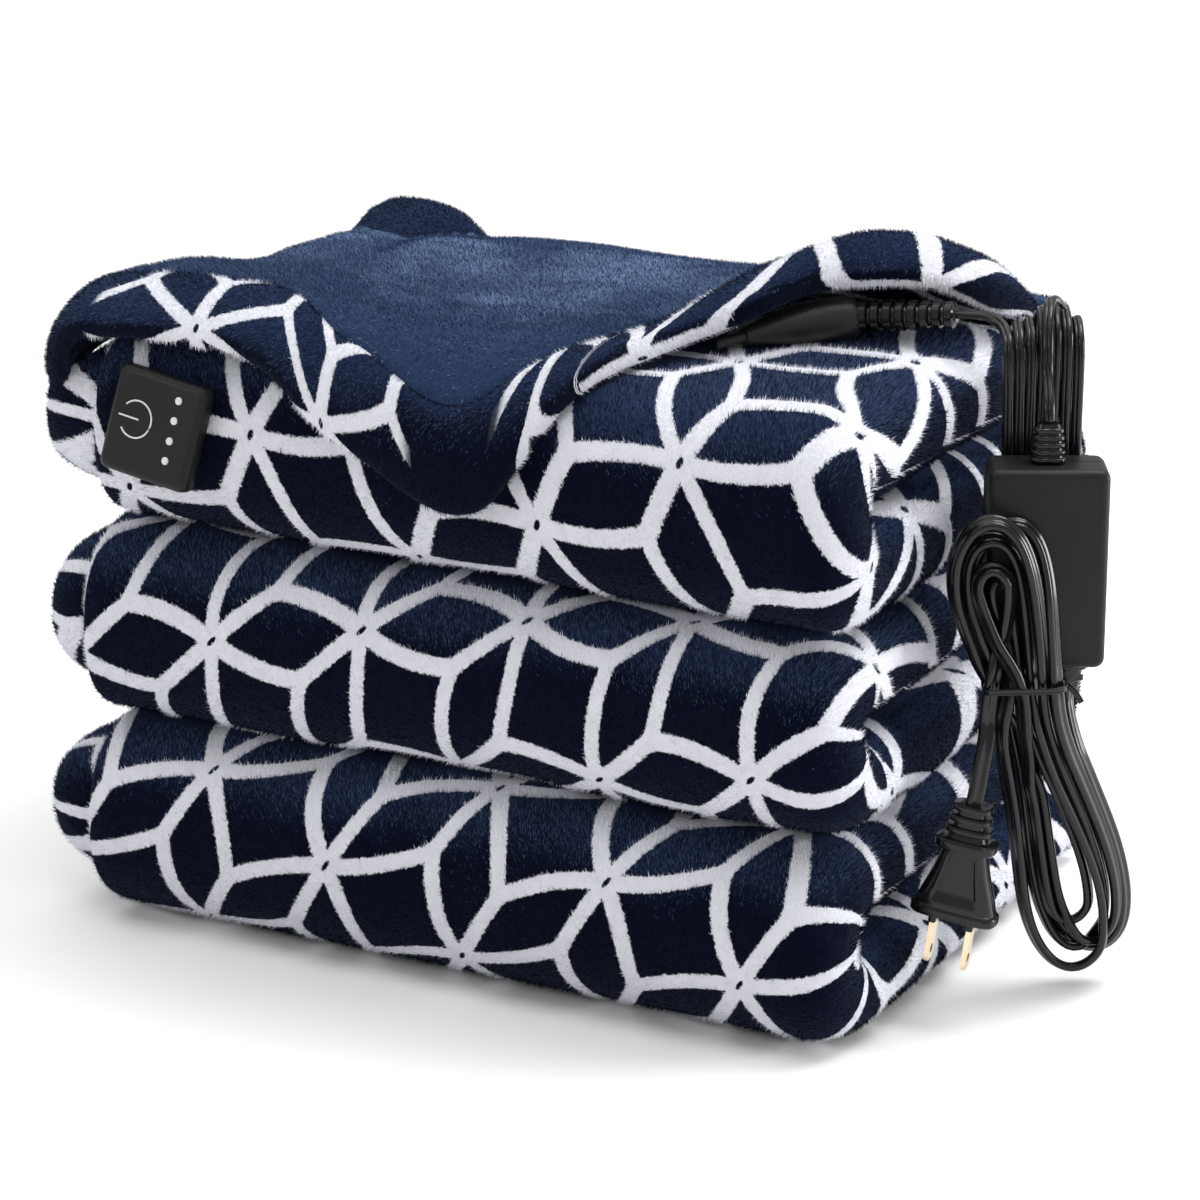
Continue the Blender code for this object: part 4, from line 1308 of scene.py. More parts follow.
    def plant(self, cloth: bpy.types.Object, yarn: Yarn, material: bpy.types.Material, count: int,
              density: float, seed: int) -> List[bpy.types.Object]:
        """Plant the fibres of one kind in batches.

        Args:
            cloth: Carrier with its attributes.
            yarn: Which fibres.
            material: Their finish.
            count: Number of batches.
            density: Fibres per square metre in each batch.
            seed: First seed.

        Returns:
            Plain mesh objects.
        """
        tree = self.tree(yarn, material)
        sockets = {item.name: item.identifier for item in tree.interface.items_tree
                   if item.item_type == "SOCKET" and item.in_out == "INPUT"}
        batches = []
        for k in range(count):
            carrier = cloth.copy()
            carrier.data = cloth.data
            bpy.context.scene.collection.objects.link(carrier)
            made = carrier.modifiers.new("pile", "NODES")
            made.node_group = tree
            for name, value in (("Density", density), ("Length", self.length), ("Width", self.width),
                                ("Lean", self.lean), ("Spread", self.spread), ("Seed", seed + k)):
                made[sockets[name]] = value
            graph = bpy.context.evaluated_depsgraph_get()
            mesh = bpy.data.meshes.new_from_object(carrier.evaluated_get(graph))
            carrier.modifiers.clear()
            bpy.data.objects.remove(carrier)
            label = "pile_%s_%d" % (yarn.value, k + 1)
            mesh.name = label
            obj = placed(label, mesh)
            LOG.info("%s: %d fibres", obj.name, len(mesh.polygons))
            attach(obj, "root")
            batches.append(obj)
        return batches


@dataclass(frozen=True)
class FibreFinish:
    """Finish of one kind of fibre: one colour, with roughness that wanders from tuft to tuft; the lighter
    navy and slate kinds are painted top light with random patches.
    """

    name: str
    colour: Colour
    gloss: float = 0.06

    def material(self) -> bpy.types.Material:
        """Build the fibre material.

        Returns:
            The material.
        """
        mat, bench, shader = new_material(self.name)
        set_sockets(shader, {"Base Color": (*self.colour, 1.0), "Specular IOR Level": self.gloss})
        place = bench.here()
        bench.feed(shader.inputs["Roughness"], 0.62 + bench.grain(place, 160.0) * 0.3)
        return mat


class HeatedBlanket:
    """The cloth: folded strip and turned-back corner as one piece."""

    # yarn, its finish's name and colour, batches, fibres per square metre in each, first seed
    yarns: Tuple[Tuple[Yarn, str, Colour, int, float, int], ...] = (
        (Yarn.WHITE, "fibre_white", (0.78, 0.79, 0.84), 1, 1.9e6, 21),
        (Yarn.GROUND, "fibre_navy", (0.0022, 0.0042, 0.0145), 2, 0.75e6, 31),
        # lighter navy: random patches and painted top light
        (Yarn.NAVY_PATCHES_AND_LIGHT, "fibre_navy_patches_and_light", (0.056, 0.082, 0.162), 1, 1.5e6, 41),
        (Yarn.REVERSE, "fibre_slate", (0.038, 0.066, 0.140), 1, 1.2e6, 51),
        # lighter slate: random patches and painted top light
        (Yarn.SLATE_PATCHES_AND_LIGHT, "fibre_slate_patches_and_light", (0.150, 0.212, 0.340), 1, 1.6e6, 61),
    )

    def __init__(self) -> None:
        """Settle the cloth's sizes and finish."""
        self.strip = FoldedStrip()
        self.corner = TurnedCorner(self.strip)
        self.finish = PlushFinish()
        self.trellis = Trellis()

    def build(self) -> bpy.types.Object:
        """Build and dress the cloth.

        Returns:
            The cloth.
        """
        whole = self.strip.build().joined(self.corner.build()).waved(1.3 * MM, 17.0)
        cloth = whole.to_object("blanket_cloth")
        cloth.data.materials.append(self.finish.material(self.trellis))
        pile = self.pile(cloth)
        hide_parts("blanket")
        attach(cloth, "root")
        return cloth

    def pile(self, cloth: bpy.types.Object) -> List[bpy.types.Object]:
        """Plant the pile of every yarn on the cloth, the lighter navy and slate yarns as painted top light
        with random patches.

        Args:
            cloth: Carrier with its attributes.

        Returns:
            The pile's meshes.
        """
        pile = PlushPile(self.trellis)
        area = pile.mark_open(cloth)
        LOG.info("open cloth %.3f square metres", area)
        made = []
        for yarn, name, colour, batches, density, seed in self.yarns:
            material = FibreFinish(name, colour).material()
            made += pile.plant(cloth, yarn, material, batches, density, seed)
        return made


HANG = Vector((165.6, -17.0, 0.0)) * MM
HANG_YAW = math.radians(27.83)


def hang(side: float, fore: float, height: float) -> Vector:
    """Point of the hanging group in the frame, from millimetres to the right, forward and up.

    Args:
        side: To the right.
        fore: Forward.
        height: Up.

    Returns:
        The point in metres.
    """
    right = Vector((math.cos(HANG_YAW), math.sin(HANG_YAW), 0))
    front = Vector((math.sin(HANG_YAW), -math.cos(HANG_YAW), 0))
    return HANG + (right * side + front * fore + Vector((0, 0, height))) * MM


def through(route: Sequence[Sequence[float]], spacing: float) -> np.ndarray:
    """Evenly spaced points on a smooth curve through a route.

    Args:
        route: Points to pass through, in any unit.
        spacing: Distance between the new points, in the same unit.

    Returns:
        Rows of points.
    """
    pts = np.array(route, float)
    knots = np.vstack([pts[0] * 2 - pts[1], pts, pts[-1] * 2 - pts[-2]])
    dense = []
    for a, b, c, d in zip(knots, knots[1:], knots[2:], knots[3:]):
        for i in range(20):
            t = i / 20
            dense.append(0.5 * (2 * b + (c - a) * t + (2 * a - 5 * b + 4 * c - d) * t * t
                                + (3 * b - a - 3 * c + d) * t ** 3))
    dense.append(pts[-1])
    return respaced(np.array(dense), spacing)


def respaced(rows: np.ndarray, spacing: float) -> np.ndarray:
    """Points at even distances along a line of points."""
    run = run_of(rows)
    return read_at(np.linspace(0, run[-1], max(4, int(round(run[-1] / spacing)) + 1)), run, rows)


@dataclass(frozen=True)
class CordShape:
    """Cross-section of a jacket: round, or two lobes side by side. Metres."""

    width: float
    thick: float

    def outline(self) -> List[Tuple[float, float]]:
        """Points of the section, first along the width and then across it.

        Returns:
            The points.
        """
        if self.width - self.thick < 0.1 * MM:
            angles = [2 * math.pi * i / 12 for i in range(12)]
            return [(self.width / 2 * math.cos(a), self.width / 2 * math.sin(a)) for a in angles]
        r = self.thick / 2
        off = self.width / 2 - r
        right = [(off + r * math.cos(math.radians(a)), r * math.sin(math.radians(a)))
                 for a in (-118, -90, -60, -30, 0, 30, 60, 90, 118)]
        waist = r * 0.62
        left = [(-x, -y) for x, y in right]
        return right + [(0.0, waist)] + left + [(0.0, -waist)]


def sweep(name: str, path: np.ndarray, shape: CordShape, toward: np.ndarray,
          turn: np.ndarray) -> bpy.types.Object:
    """Closed tube of a section along a path, its section turned about the path.

    Args:
        name: Object name.
        path: Ring centres in metres.
        shape: Cross-section.
        toward: Direction that the width lies along at no turn.
        turn: Angle of each ring in radians.

    Returns:
        The linked mesh object with a UV map "jacket" that runs along it.
    """
    tangent = unit(np.gradient(path, axis=0))
    wide = unit(toward - (toward * tangent).sum(1)[:, None] * tangent)
    cross = np.cross(tangent, wide)
    c, s = np.cos(turn)[:, None], np.sin(turn)[:, None]
    w, n = wide * c + cross * s, cross * c - wide * s
    outline = shape.outline()
    count, m = len(path), len(outline)
    points = [p + w[k] * x + n[k] * y for k, p in enumerate(path) for x, y in outline]
    mesh = new_mesh(name, points, ring_faces(count, m) + end_faces(count, m))
    around = np.tile(np.abs(np.linspace(-1, 1, m)), count)
    store_uv(mesh, "jacket", np.column_stack([np.repeat(run_of(path), m), around]))
    face_outward(mesh)
    return placed(name, mesh)


@dataclass
class LowVoltageCord:
    """Thin twin cord from the connector's relief, over seven hung loops, into the adapter's top relief."""

    dia: float = 3.8
    relief_end: Place = (144.0, -4.6, 228.6)
    first_side: float = 1.4
    pitch: float = 3.85
    fore: float = -12.1
    bend: float = 9.8
    tops: Tuple[float, ...] = (227.0, 227.6, 228.6, 232.4, 232.6, 231.6, 229.2)
    bottoms: Tuple[float, ...] = (155.0, 154.6, 156.0, 154.4, 155.4, 156.6, 155.2)
    relief_top: Place = (14.0, 11.4, 200.0)

    def route(self) -> List[Tuple[float, float, float]]:
        """Side, fore and height of the points that the cord passes, in millimetres.

        Returns:
            Rows of points.
        """
        pts = [(-16.6, -22.2, 228.3), (-12.3, -20.8, 228.8), (-8.0, -19.2, 229.0), (-3.6, -17.0, 229.0)]
        r, f = self.bend, self.fore
        q = r * 0.7071
        for i, (top, low) in enumerate(zip(self.tops, self.bottoms)):
            s = self.first_side + self.pitch * i
            lean = 1.8 * max(0.0, (2.5 - i) / 2.5)
            n = s + self.pitch
            pts += [(s, f, top) if i else (s - 1.2, f - 1.2, top)]
            pts += [(s, f + q, top - r + q), (s + 0.2, f + r, top - r),
                    (s + lean * 0.5, f + r, (top + low) / 2), (s + lean, f + r, low + r),
                    (s + lean, f + q, low + r - q), (s + lean, f, low)]
            if i < len(self.tops) - 1:
                m, nt = s + self.pitch * 0.4, self.tops[i + 1]
                pts += [(m + lean, f - q, low + r - q), (m + lean, f - r, low + r),
                        (s + 0.6 * self.pitch, f - r, 190.0), (n - 0.3, f - r, nt - r),
                        (n - 0.1, f - q, nt - r + q)]
            else:
                pts += [(s, f - q, low + r - q), (s, f - r, low + r), (s - 0.5, f - r - 0.4, 190.0),
                        (s - 2.0, f - r - 1.6, 222.0), (s - 4.6, f - q - 1.6, 231.6)]
        side, fore, height = self.relief_top
        pts += [(side + 2.2, f - 1.0, 235.6), (side + 0.4, f + q + 0.6, 232.0), (side, f + r + 3.4, 223.6),
                (side, f + r + 5.0, 215.0), (side, fore - 1.2, 206.5), (side, fore, 202.0)]
        pts.append((side, fore, height))
        return pts

    def build(self, jacket: bpy.types.Material) -> bpy.types.Object:
        """Args:
            jacket: Finish of the cord.

        Returns:
            The cord.
        """
        line = through(self.route(), 2.0)
        path = np.array([hang(*p) for p in line])
        toward = np.tile(np.array([math.cos(HANG_YAW), math.sin(HANG_YAW), 0.0]), (len(path), 1))
        obj = sweep("dc_cord", path, CordShape(self.dia * MM, 2.6 * MM), toward, np.full(len(path), 0.35))
        dressed(obj, jacket, "cord_jacket")
        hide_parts("dc_lead", "dc_hank", "dc_tail")
        return obj


@dataclass
class MainsCord:
    """Flat twin mains lead: out of the adapter, five loops tied at the waist, down to the plug."""

    width: float = 6.0
    thick: float = 3.0
    exit_at: Place = (23.0, 11.4, 109.5)
    rows: Rows = ((177, 28.2), (119, 28), (113, 27.4), (100, 25), (85, 21), (66, 15.6), (47, 10.4),
                  (30, 6.2), (14.5, 3.2), (0.6, 0.6))

    def fore_at(self, height: float) -> float:
        """Middle of the hank's depth at a height."""
        rows = sorted(self.rows)
        return float(np.interp(height, [r[0] for r in rows], [r[1] for r in rows]))

    def stretches(self) -> List[Tuple[float, List[Tuple[float, float]]]]:
        """Stretches of the cord as (place in the hank's depth, side and height points), in millimetres.

        Returns:
            The stretches in order.
        """
        return [
            (-3.4, [(26.6, 90), (29.2, 84.5), (33.8, 73), (38.5, 61.5), (42.4, 50.1), (45.2, 38.7),
                (46.4, 28.7), (45.8, 19.8), (43, 14), (38.8, 11), (33.1, 11.6), (27.8, 15.5), (23.5, 22),
                (20, 31.4), (17.4, 42.1), (15.6, 56.4), (14, 69.7), (12.4, 82.9), (10.4, 97)]),
            (-3, [(7.4, 114.5), (-3, 124), (-7.6, 132), (-10.6, 141), (-11.4, 152.4), (-9.8, 161.6),
                (-5.7, 168.2), (-0.4, 171.9), (4.6, 172.6), (9, 169.2), (12, 162.6), (13.8, 154.7)]),
            (0, [(15, 146), (15.8, 135.3), (16.8, 124.5)]),
            (2.8, [(17.4, 114.5), (18.6, 105), (22.2, 94)]),
            (0.2, [(25.4, 86), (29.9, 75.5), (34.9, 63.4), (38.9, 52.1), (41.9, 40.7), (43.3, 30),
                (42.7, 22), (39.9, 16), (35.6, 14), (30.6, 16.2), (26, 22), (22.6, 31.4), (20.4, 43.1),
                (18.2, 56.4)]),
            (-2.8, [(14, 76), (8, 95), (1.2, 108), (-3, 115)]),
            (-1.5, [(-8.2, 123.6), (-12, 132.4), (-15.4, 141)]),
            (2.6, [(-17.3, 148.5), (-18, 154.7), (-17.1, 161.5), (-14.8, 167.7), (-11.2, 172.4), (-6, 175),
                (-0.8, 173.8), (3.4, 169.3), (6.2, 163.7), (8.3, 156.9), (9.9, 149), (11, 141), (12, 132.5),
                (12.9, 123.9), (13.6, 114.7)]),
            (1, [(15.4, 104), (18.6, 93), (23.4, 81), (28.6, 68.4), (32.8, 56.4), (36.2, 45.5),
                (38.6, 35.4), (39.4, 26), (38.2, 18.5)]),
            (-3, [(35.2, 13.2), (30.8, 11), (25.6, 13.6), (20.6, 20.6), (16.2, 31.4), (12.6, 47.7),
                (9.4, 67.7), (6.8, 84), (3, 100), (0.8, 114.5)]),
            (-1.4, [(-5.6, 127), (-9.6, 136), (-12.6, 145), (-13.8, 152.4), (-13.3, 159.6), (-11, 165.2),
                (-7.3, 168.6), (-2.6, 168.6), (1.1, 165.4), (3.8, 160), (5.6, 153), (6.8, 146), (7.8, 138),
                (8.8, 128), (9.7, 114.5)]),
            (3.4, [(12.6, 100), (15.8, 89.4), (19.5, 81), (23.4, 72.7), (27.8, 63), (31.7, 54),
                (35.1, 45.1), (37.6, 35.7), (38.8, 26.4), (38.4, 17), (36.2, 10.4), (32.6, 6.4), (28.8, 5),
                (24, 6.8), (19.4, 11.6), (14.8, 19.6), (11.2, 31), (8.6, 47.7), (5.6, 67.7), (2.2, 85),
                (-0.4, 97), (0.6, 108), (2.9, 116)]),
            (0.6, [(1.9, 124), (-0.8, 133.1), (-4.2, 141.6), (-6.9, 150.1), (-7.9, 156.9), (-7, 161.9),
                (-4.4, 163.8), (-1.8, 162), (0.4, 156.6), (1.6, 150.1)]),
            (-2.4, [(2.6, 143.3), (3.8, 134), (5, 124), (5.6, 114.5)]),
            (-0.6, [(9.6, 99), (14.4, 88), (19.6, 76), (24, 65.1), (27.9, 55.4), (31, 46.1), (33.2, 36.4),
                (34, 28.4), (33.2, 21.5), (30.8, 17.9), (27.6, 18.5), (23.8, 23.4), (20, 31.4),
                (16.4, 47.7), (13, 67.7), (10.4, 86)]),
            (2.6, [(8.6, 98), (7, 108), (5.6, 116), (1.4, 124), (-2.8, 132), (-7, 140.6), (-10, 148),
                (-11.4, 154.5), (-11, 160.2), (-9, 164), (-6.1, 165.4), (-2.9, 163.9)]),
            (1, [(-0.4, 159.8), (1.2, 153.5), (1.6, 146.7), (1, 140), (-0.2, 133)]),
            (-0.4, [(-2, 126), (-3.4, 120)]),
            (2.8, [(-4.2, 114.5), (-4.5, 106)]),
        ]

    def plug_run(self) -> List[Tuple[float, float, float]]:
        """Last stretch down to the plug, side, fore and height."""
        return [(-5.4, 31.6, 97.0), (-6.9, 33.0, 88.0), (-8.2, 34.1, 80.6), (-9.0, 34.5, 76.5),
                (-9.3, 34.5, 74.5)]

    def route(self) -> np.ndarray:
        """Side, fore and height of the whole lead.

        Returns:
            Rows of evenly spaced points.
        """
        side, fore, height = self.exit_at
        pts = [(side, fore, height + 2.5), (side, fore, height - 0.5),
               (side + 0.05, fore + 0.4, height - 3.6), (side + 0.3, fore + 1.7, height - 7.0),
               (side + 1.0, fore + 3.9, 98.8), (side + 2.1, fore + 6.0, 95.0)]
        for layer, row in self.stretches():
            pts += [(s, self.fore_at(z) + layer, z) for s, z in row]
        return through(pts + self.plug_run(), 2.0)

    def settle(self, line: np.ndarray, rounds: int = 70) -> np.ndarray:
        """Push strands that lie in each other apart, keeping the ends.

        Args:
            line: Side, fore and height rows.
            rounds: Number of passes.

        Returns:
            The settled rows.
        """
        rest, rows = line.copy(), line.copy()
        count = len(rows)
        index = np.arange(count)
        apart = np.abs(index[:, None] - index[None]) > 8
        hold = np.clip(np.minimum(index - 4, count - 16 - index) / 8.0, 0, 1)[:, None]
        late = np.clip((index - 10) / 12.0, 0, 1)
        scale = np.array([1 / (self.thick + 0.7), 1 / (self.width * 0.86), 1 / (self.thick + 0.7)])
        for _ in range(rounds):
            scaled = rows * scale
            gap = scaled[:, None] - scaled[None]
            far = np.sqrt((gap ** 2).sum(2)) + 1e-6
            push = np.where(apart & (far < 1.0), (1.0 - far) / far * 0.24, 0.0)
            move = (gap * push[:, :, None]).sum(1) / scale
            rows = rows + np.clip(move, -0.5, 0.5) * hold
            middle = (rows[:-2] + rows[2:]) / 2
            rows[1:-1] += (middle - rows[1:-1]) * 0.35 * hold[1:-1]
            rows += (rest - rows) * np.array([0.03, 0.01, 0.03]) * hold
            centre = np.array([self.fore_at(z) for z in rows[:, 2]])
            inside = np.clip(rows[:, 1], centre - 3.9, centre + 3.9)
            rows[:, 1] += (inside - rows[:, 1]) * hold[:, 0] * late * 0.3
            rows[:, 2] = np.maximum(rows[:, 2], 3.0)
        return self.ease_bends(respaced(rows, 2.0))

    def ease_bends(self, rows: np.ndarray, least: float = 4.6, rounds: int = 60) -> np.ndarray:
        """Open every bend that is tighter than a least radius.

        Args:
            rows: Evenly spaced points in millimetres.
            least: Least radius.
            rounds: Most passes.

        Returns:
            The eased rows, evenly spaced.
        """
        for k in range(rounds):
            if k % 8 == 7:
                rows = respaced(rows, 2.0)
            back, on = rows[1:-1] - rows[:-2], rows[2:] - rows[1:-1]
            lengths = np.linalg.norm(back, axis=1), np.linalg.norm(on, axis=1)
            turn = np.arccos(np.clip((back * on).sum(1) / (lengths[0] * lengths[1]), -1, 1))
            tight = turn * least > (lengths[0] + lengths[1]) / 2
            if not tight.any():
                break
            near = np.convolve(tight.astype(float), np.ones(7), "same") > 0
            near[:2] = near[-8:] = False
            for amount in (0.5, -0.34):
                move = (rows[:-2] + rows[2:]) / 2 - rows[1:-1]
                rows[1:-1] += move * near[:, None] * amount
        return respaced(rows, 2.0)

    def build(self, jacket: bpy.types.Material, plug: List[bpy.types.Object]) -> bpy.types.Object:
        """Args:
            jacket: Finish of the cord.
            plug: Pieces of the plug on its end.

        Returns:
            The cord.
        """
        line = self.settle(self.route())
        path = np.array([hang(*p) for p in line])
        run = run_of(path)
        front = np.array([math.sin(HANG_YAW), -math.cos(HANG_YAW), 0.0])
        toward = np.tile(front, (len(path), 1))
        flip = smooth((run - (run[-1] - 0.075)) / 0.05) * math.radians(62)
        turn = math.radians(26) + 0.22 * np.sin(run * 21.0) + flip
        obj = sweep("mains_cord", path, CordShape(self.width * MM, self.thick * MM), toward, turn)
        dressed(obj, jacket, "cord_jacket")
        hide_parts("mains_lead", "mains_hank", "plug_lead")
        tuple(hang(*self.exit_at))
        self.width * MM
        plug + self.blades()
        LOG.info("mains cord %.3f m", run[-1])
        return obj

    def blades(self) -> List[bpy.types.Object]:
        """The plug's two packed blades."""
        return [frame["nodes"][name] for name in ("plug_blade_left", "plug_blade_right")]


@dataclass(frozen=True)
class Studio:
    """Camera, soft lights and plain pale floor."""

    yaw: float = HANG_YAW
    pitch: float = math.radians(17.73)
    distance: float = 1.5
    focal_px: float = 4232.0
    frame_px: float = 1200.0
    # name, place, side of the square, watts, point that it faces
    lamps: Tuple[Tuple[str, Place, float, float, Place], ...] = (
        ("ceiling", (-0.25, 0.45, 2.8), 4.5, 78.0, (-0.25, 0.45, 0.0)),
        ("key_top", (0.55, 0.3, 1.4), 0.6, 10.0, (0.0, 0.0, 0.12)),
        ("right_edge", (1.35, 0.6, 0.3), 0.5, 13.0, (0.15, 0.0, 0.12)),
        ("left_front", (-0.9, -1.5, 1.0), 0.5, 4.5, (0.0, 0.0, 0.12)),
    )

    def axes(self) -> Tuple[Vector, Vector, Vector]:
        """Right, up and back of the camera.

        Returns:
            Three unit vectors.
        """
        back = Vector((math.sin(self.yaw) * math.cos(self.pitch), -math.cos(self.yaw) * math.cos(self.pitch),
                       math.sin(self.pitch)))
        right = Vector((math.cos(self.yaw), math.sin(self.yaw), 0.0))
        return right, back.cross(right), back

    def camera(self) -> None:
        """Place the camera at the photograph's angle."""
        right, up, back = self.axes()
        data = bpy.data.cameras.new("view")
        data.sensor_width = 36.0
        data.lens = 36.0 * self.focal_px / self.frame_px
        data.clip_start, data.clip_end = 0.05, 50.0
        obj = placed("view", data)
        turn = Matrix((right, up, back)).transposed()
        obj.rotation_mode = "QUATERNION"
        obj.rotation_quaternion = turn.to_quaternion()
        obj.location = Vector((0, 0, 0.11)) + right * 0.0068 - up * 0.0028 + back * self.distance
        bpy.context.scene.camera = obj

    def lamp(self, name: str, place: Tuple[float, float, float], size: float, watts: float,
             aim: Tuple[float, float, float]) -> None:
        """Add one square soft light.

        Args:
            name: Its name.
            place: Where it hangs.
            size: Side of the square.
            watts: Its power.
            aim: Point that it faces.
        """
        data = bpy.data.lights.new(name, "AREA")
        data.size = size
        data.energy = watts
        obj = placed(name, data)
        obj.location = place
        way = Vector(aim) - Vector(place)
        obj.rotation_mode = "QUATERNION"
        obj.rotation_quaternion = way.to_track_quat("-Z", "Y")

    def floor(self) -> None:
        """Plain pale floor."""
        bm = bmesh.new()
        bmesh.ops.create_grid(bm, x_segments=1, y_segments=1, size=12.0)
        mesh = bpy.data.meshes.new("floor")
        bm.to_mesh(mesh)
        bm.free()
        obj = placed("floor", mesh)
        obj.location = (0, 0, -0.0004)
        mat, bench, shader = new_material("floor_paper")
        set_sockets(shader, {"Roughness": 0.9, "Specular IOR Level": 0.1})
        place = bench.here()
        paper = bench.blend(bench.grain(place, 3.0), (0.93, 0.93, 0.925, 1), (0.95, 0.95, 0.945, 1))
        bench.feed(shader.inputs["Base Color"], paper)
        mesh.materials.append(mat)

    def build(self) -> None:
        """Make camera, lights, floor and background."""
        self.camera()
        self.floor()
        world = bpy.data.worlds.new("studio")
        bpy.context.scene.world = world
        world.use_nodes = True
        back = world.node_tree.nodes["Background"]
        back.inputs["Color"].default_value = (1.0, 1.0, 1.0, 1.0)
        back.inputs["Strength"].default_value = 0.62
        for lamp in self.lamps:
            self.lamp(*lamp)
        bpy.context.scene.view_settings.view_transform = "Standard"


def loft(name: str, rings: Sequence[np.ndarray], material: bpy.types.Material, crease: float = 38.0,
         slot: str = "cord_jacket") -> bpy.types.Object:
    """Closed solid through equal rings of points, dressed and riding on the root.

    Args:
        name: Object name.
        rings: Rings of points in metres, in order.
        material: Finish.
        crease: Angle in degrees past which an edge stays sharp.
        slot: Not used; it is handed to dressed, which ignores it.

    Returns:
        The linked object.
    """
    count, m = len(rings), len(rings[0])
    mesh = new_mesh(name, np.concatenate(rings), ring_faces(count, m) + end_faces(count, m))
    face_outward(mesh, 1e-6)
    mesh.set_sharp_from_angle(angle=math.radians(crease))
    return dressed(placed(name, mesh), material, slot)


def rounded_ring(wide: float, high: float, radius: float, steps: int = 7) -> np.ndarray:
    """Outline of a rectangle with rounded corners, as rows of two coordinates.

    Args:
        wide: Its width.
        high: Its height.
        radius: Of its corners.
        steps: Points on each corner.

    Returns:
        The rows.
    """
    rows = []
    for sx, sy, start in ((1, 1, 0), (-1, 1, 90), (-1, -1, 180), (1, -1, 270)):
        for i in range(steps):
            a = math.radians(start + 90 * i / (steps - 1))
            rows.append((sx * (wide / 2 - radius) + radius * math.cos(a),
                         sy * (high / 2 - radius) + radius * math.sin(a)))
    return np.array(rows)


def oval_ring(wide: float, thick: float, power: float, count: int = 40) -> np.ndarray:
    """Super-ellipse outline: power 2 is an ellipse, more is squarer.

    Args:
        wide: Half width.
        thick: Half thickness.
        power: Its squareness.
        count: Number of points.

    Returns:
        Rows of two coordinates.
    """
    a = np.linspace(0, 2 * math.pi, count, endpoint=False)
    c, s = np.cos(a), np.sin(a)
    e = 2 / power
    return np.column_stack([wide * np.sign(c) * np.abs(c) ** e, thick * np.sign(s) * np.abs(s) ** e])


@dataclass
class ButtonController:
    """Square push-button controller on the front of the top bundle: power mark and four level lights."""

    wide: float = 35.6
    high: float = 36.4
    thick: float = 7.0
    middle: Place = (-97.4, -119.2, 186.9)
    right: Place = (0.98769, -0.036587, -0.152097)
    up: Place = (0.156436, 0.231, 0.960295)
    mark_at: Tuple[float, float] = (-6.8, 1.0)
    mark_radius: float = 6.3
    light_places: Tuple[Tuple[float, float], ...] = ((8.0, 11.5), (8.0, 4.6), (8.1, -2.4), (8.2, -9.2))

    def at(self, x: float, y: float, out: float) -> np.ndarray:
        """Point at a place on the controller, in metres; out is measured from its middle."""
        right, up = np.array(self.right), np.array(self.up)
        return (np.array(self.middle) + right * x + up * y + np.cross(right, up) * out) * MM

    def build(self, satin: bpy.types.Material, marks: bpy.types.Material) -> None:
        """Build the case, the mark and the lights.

        Args:
            satin: Finish of the case.
            marks: Finish of the mark and the lights.
        """
        half = self.thick / 2
        rows = ((-half, 1.6), (-half + 0.5, 0.5), (-half + 1.4, 0.0), (half - 2.0, 0.0), (half - 1.1, 0.25),
                (half - 0.45, 0.9), (half - 0.1, 1.8), (half, 2.8), (half - 0.05, 3.6))
        rings = []
        for out, inset in rows:
            ring = rounded_ring(self.wide - 2 * inset, self.high - 2 * inset, max(0.8, 3.2 - inset * 0.6))
            rings.append(np.array([self.at(x, y, out) for x, y in ring]))
        case = loft("controller_case", rings, satin, 60.0, "satin_plastic")
        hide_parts("controller")
        self.power_mark(marks)
        for k, (x, y) in enumerate(self.light_places):
            dome = [(1.35, -0.3), (1.35, 0.12), (1.15, 0.42), (0.75, 0.62), (0.25, 0.7)]
            rings = [np.array([self.at(x + r * math.cos(a), y + r * math.sin(a), half + up)
                               for a in np.linspace(0, 2 * math.pi, 20, endpoint=False)]) for r, up in dome]
            loft("level_light_%d" % (k + 1), rings, marks, 60.0, "satin_plastic")

    def power_mark(self, marks: bpy.types.Material) -> None:
        """Open ring with a stroke through its gap, standing a hair over the face.

        Args:
            marks: Its finish.
        """
        x, y = self.mark_at
        out = self.thick / 2
        arc = [self.at(x + self.mark_radius * math.cos(a), y + self.mark_radius * math.sin(a), out)
               for a in np.radians(np.linspace(-140, 140, 50))]
        stroke = [self.at(x + d, y + 0.1, out) for d in np.linspace(-6.9, 1.2, 12)]
        for label, line in (("power_ring", arc), ("power_stroke", stroke)):
            path = np.array(line)
            toward = np.tile(np.array(self.up) + np.array(self.right) * 0.3, (len(path), 1))
            piece = sweep(label, path, CordShape(0.62 * MM, 0.6 * MM), toward, np.zeros(len(path)))
            dressed(piece, marks, "satin_plastic")


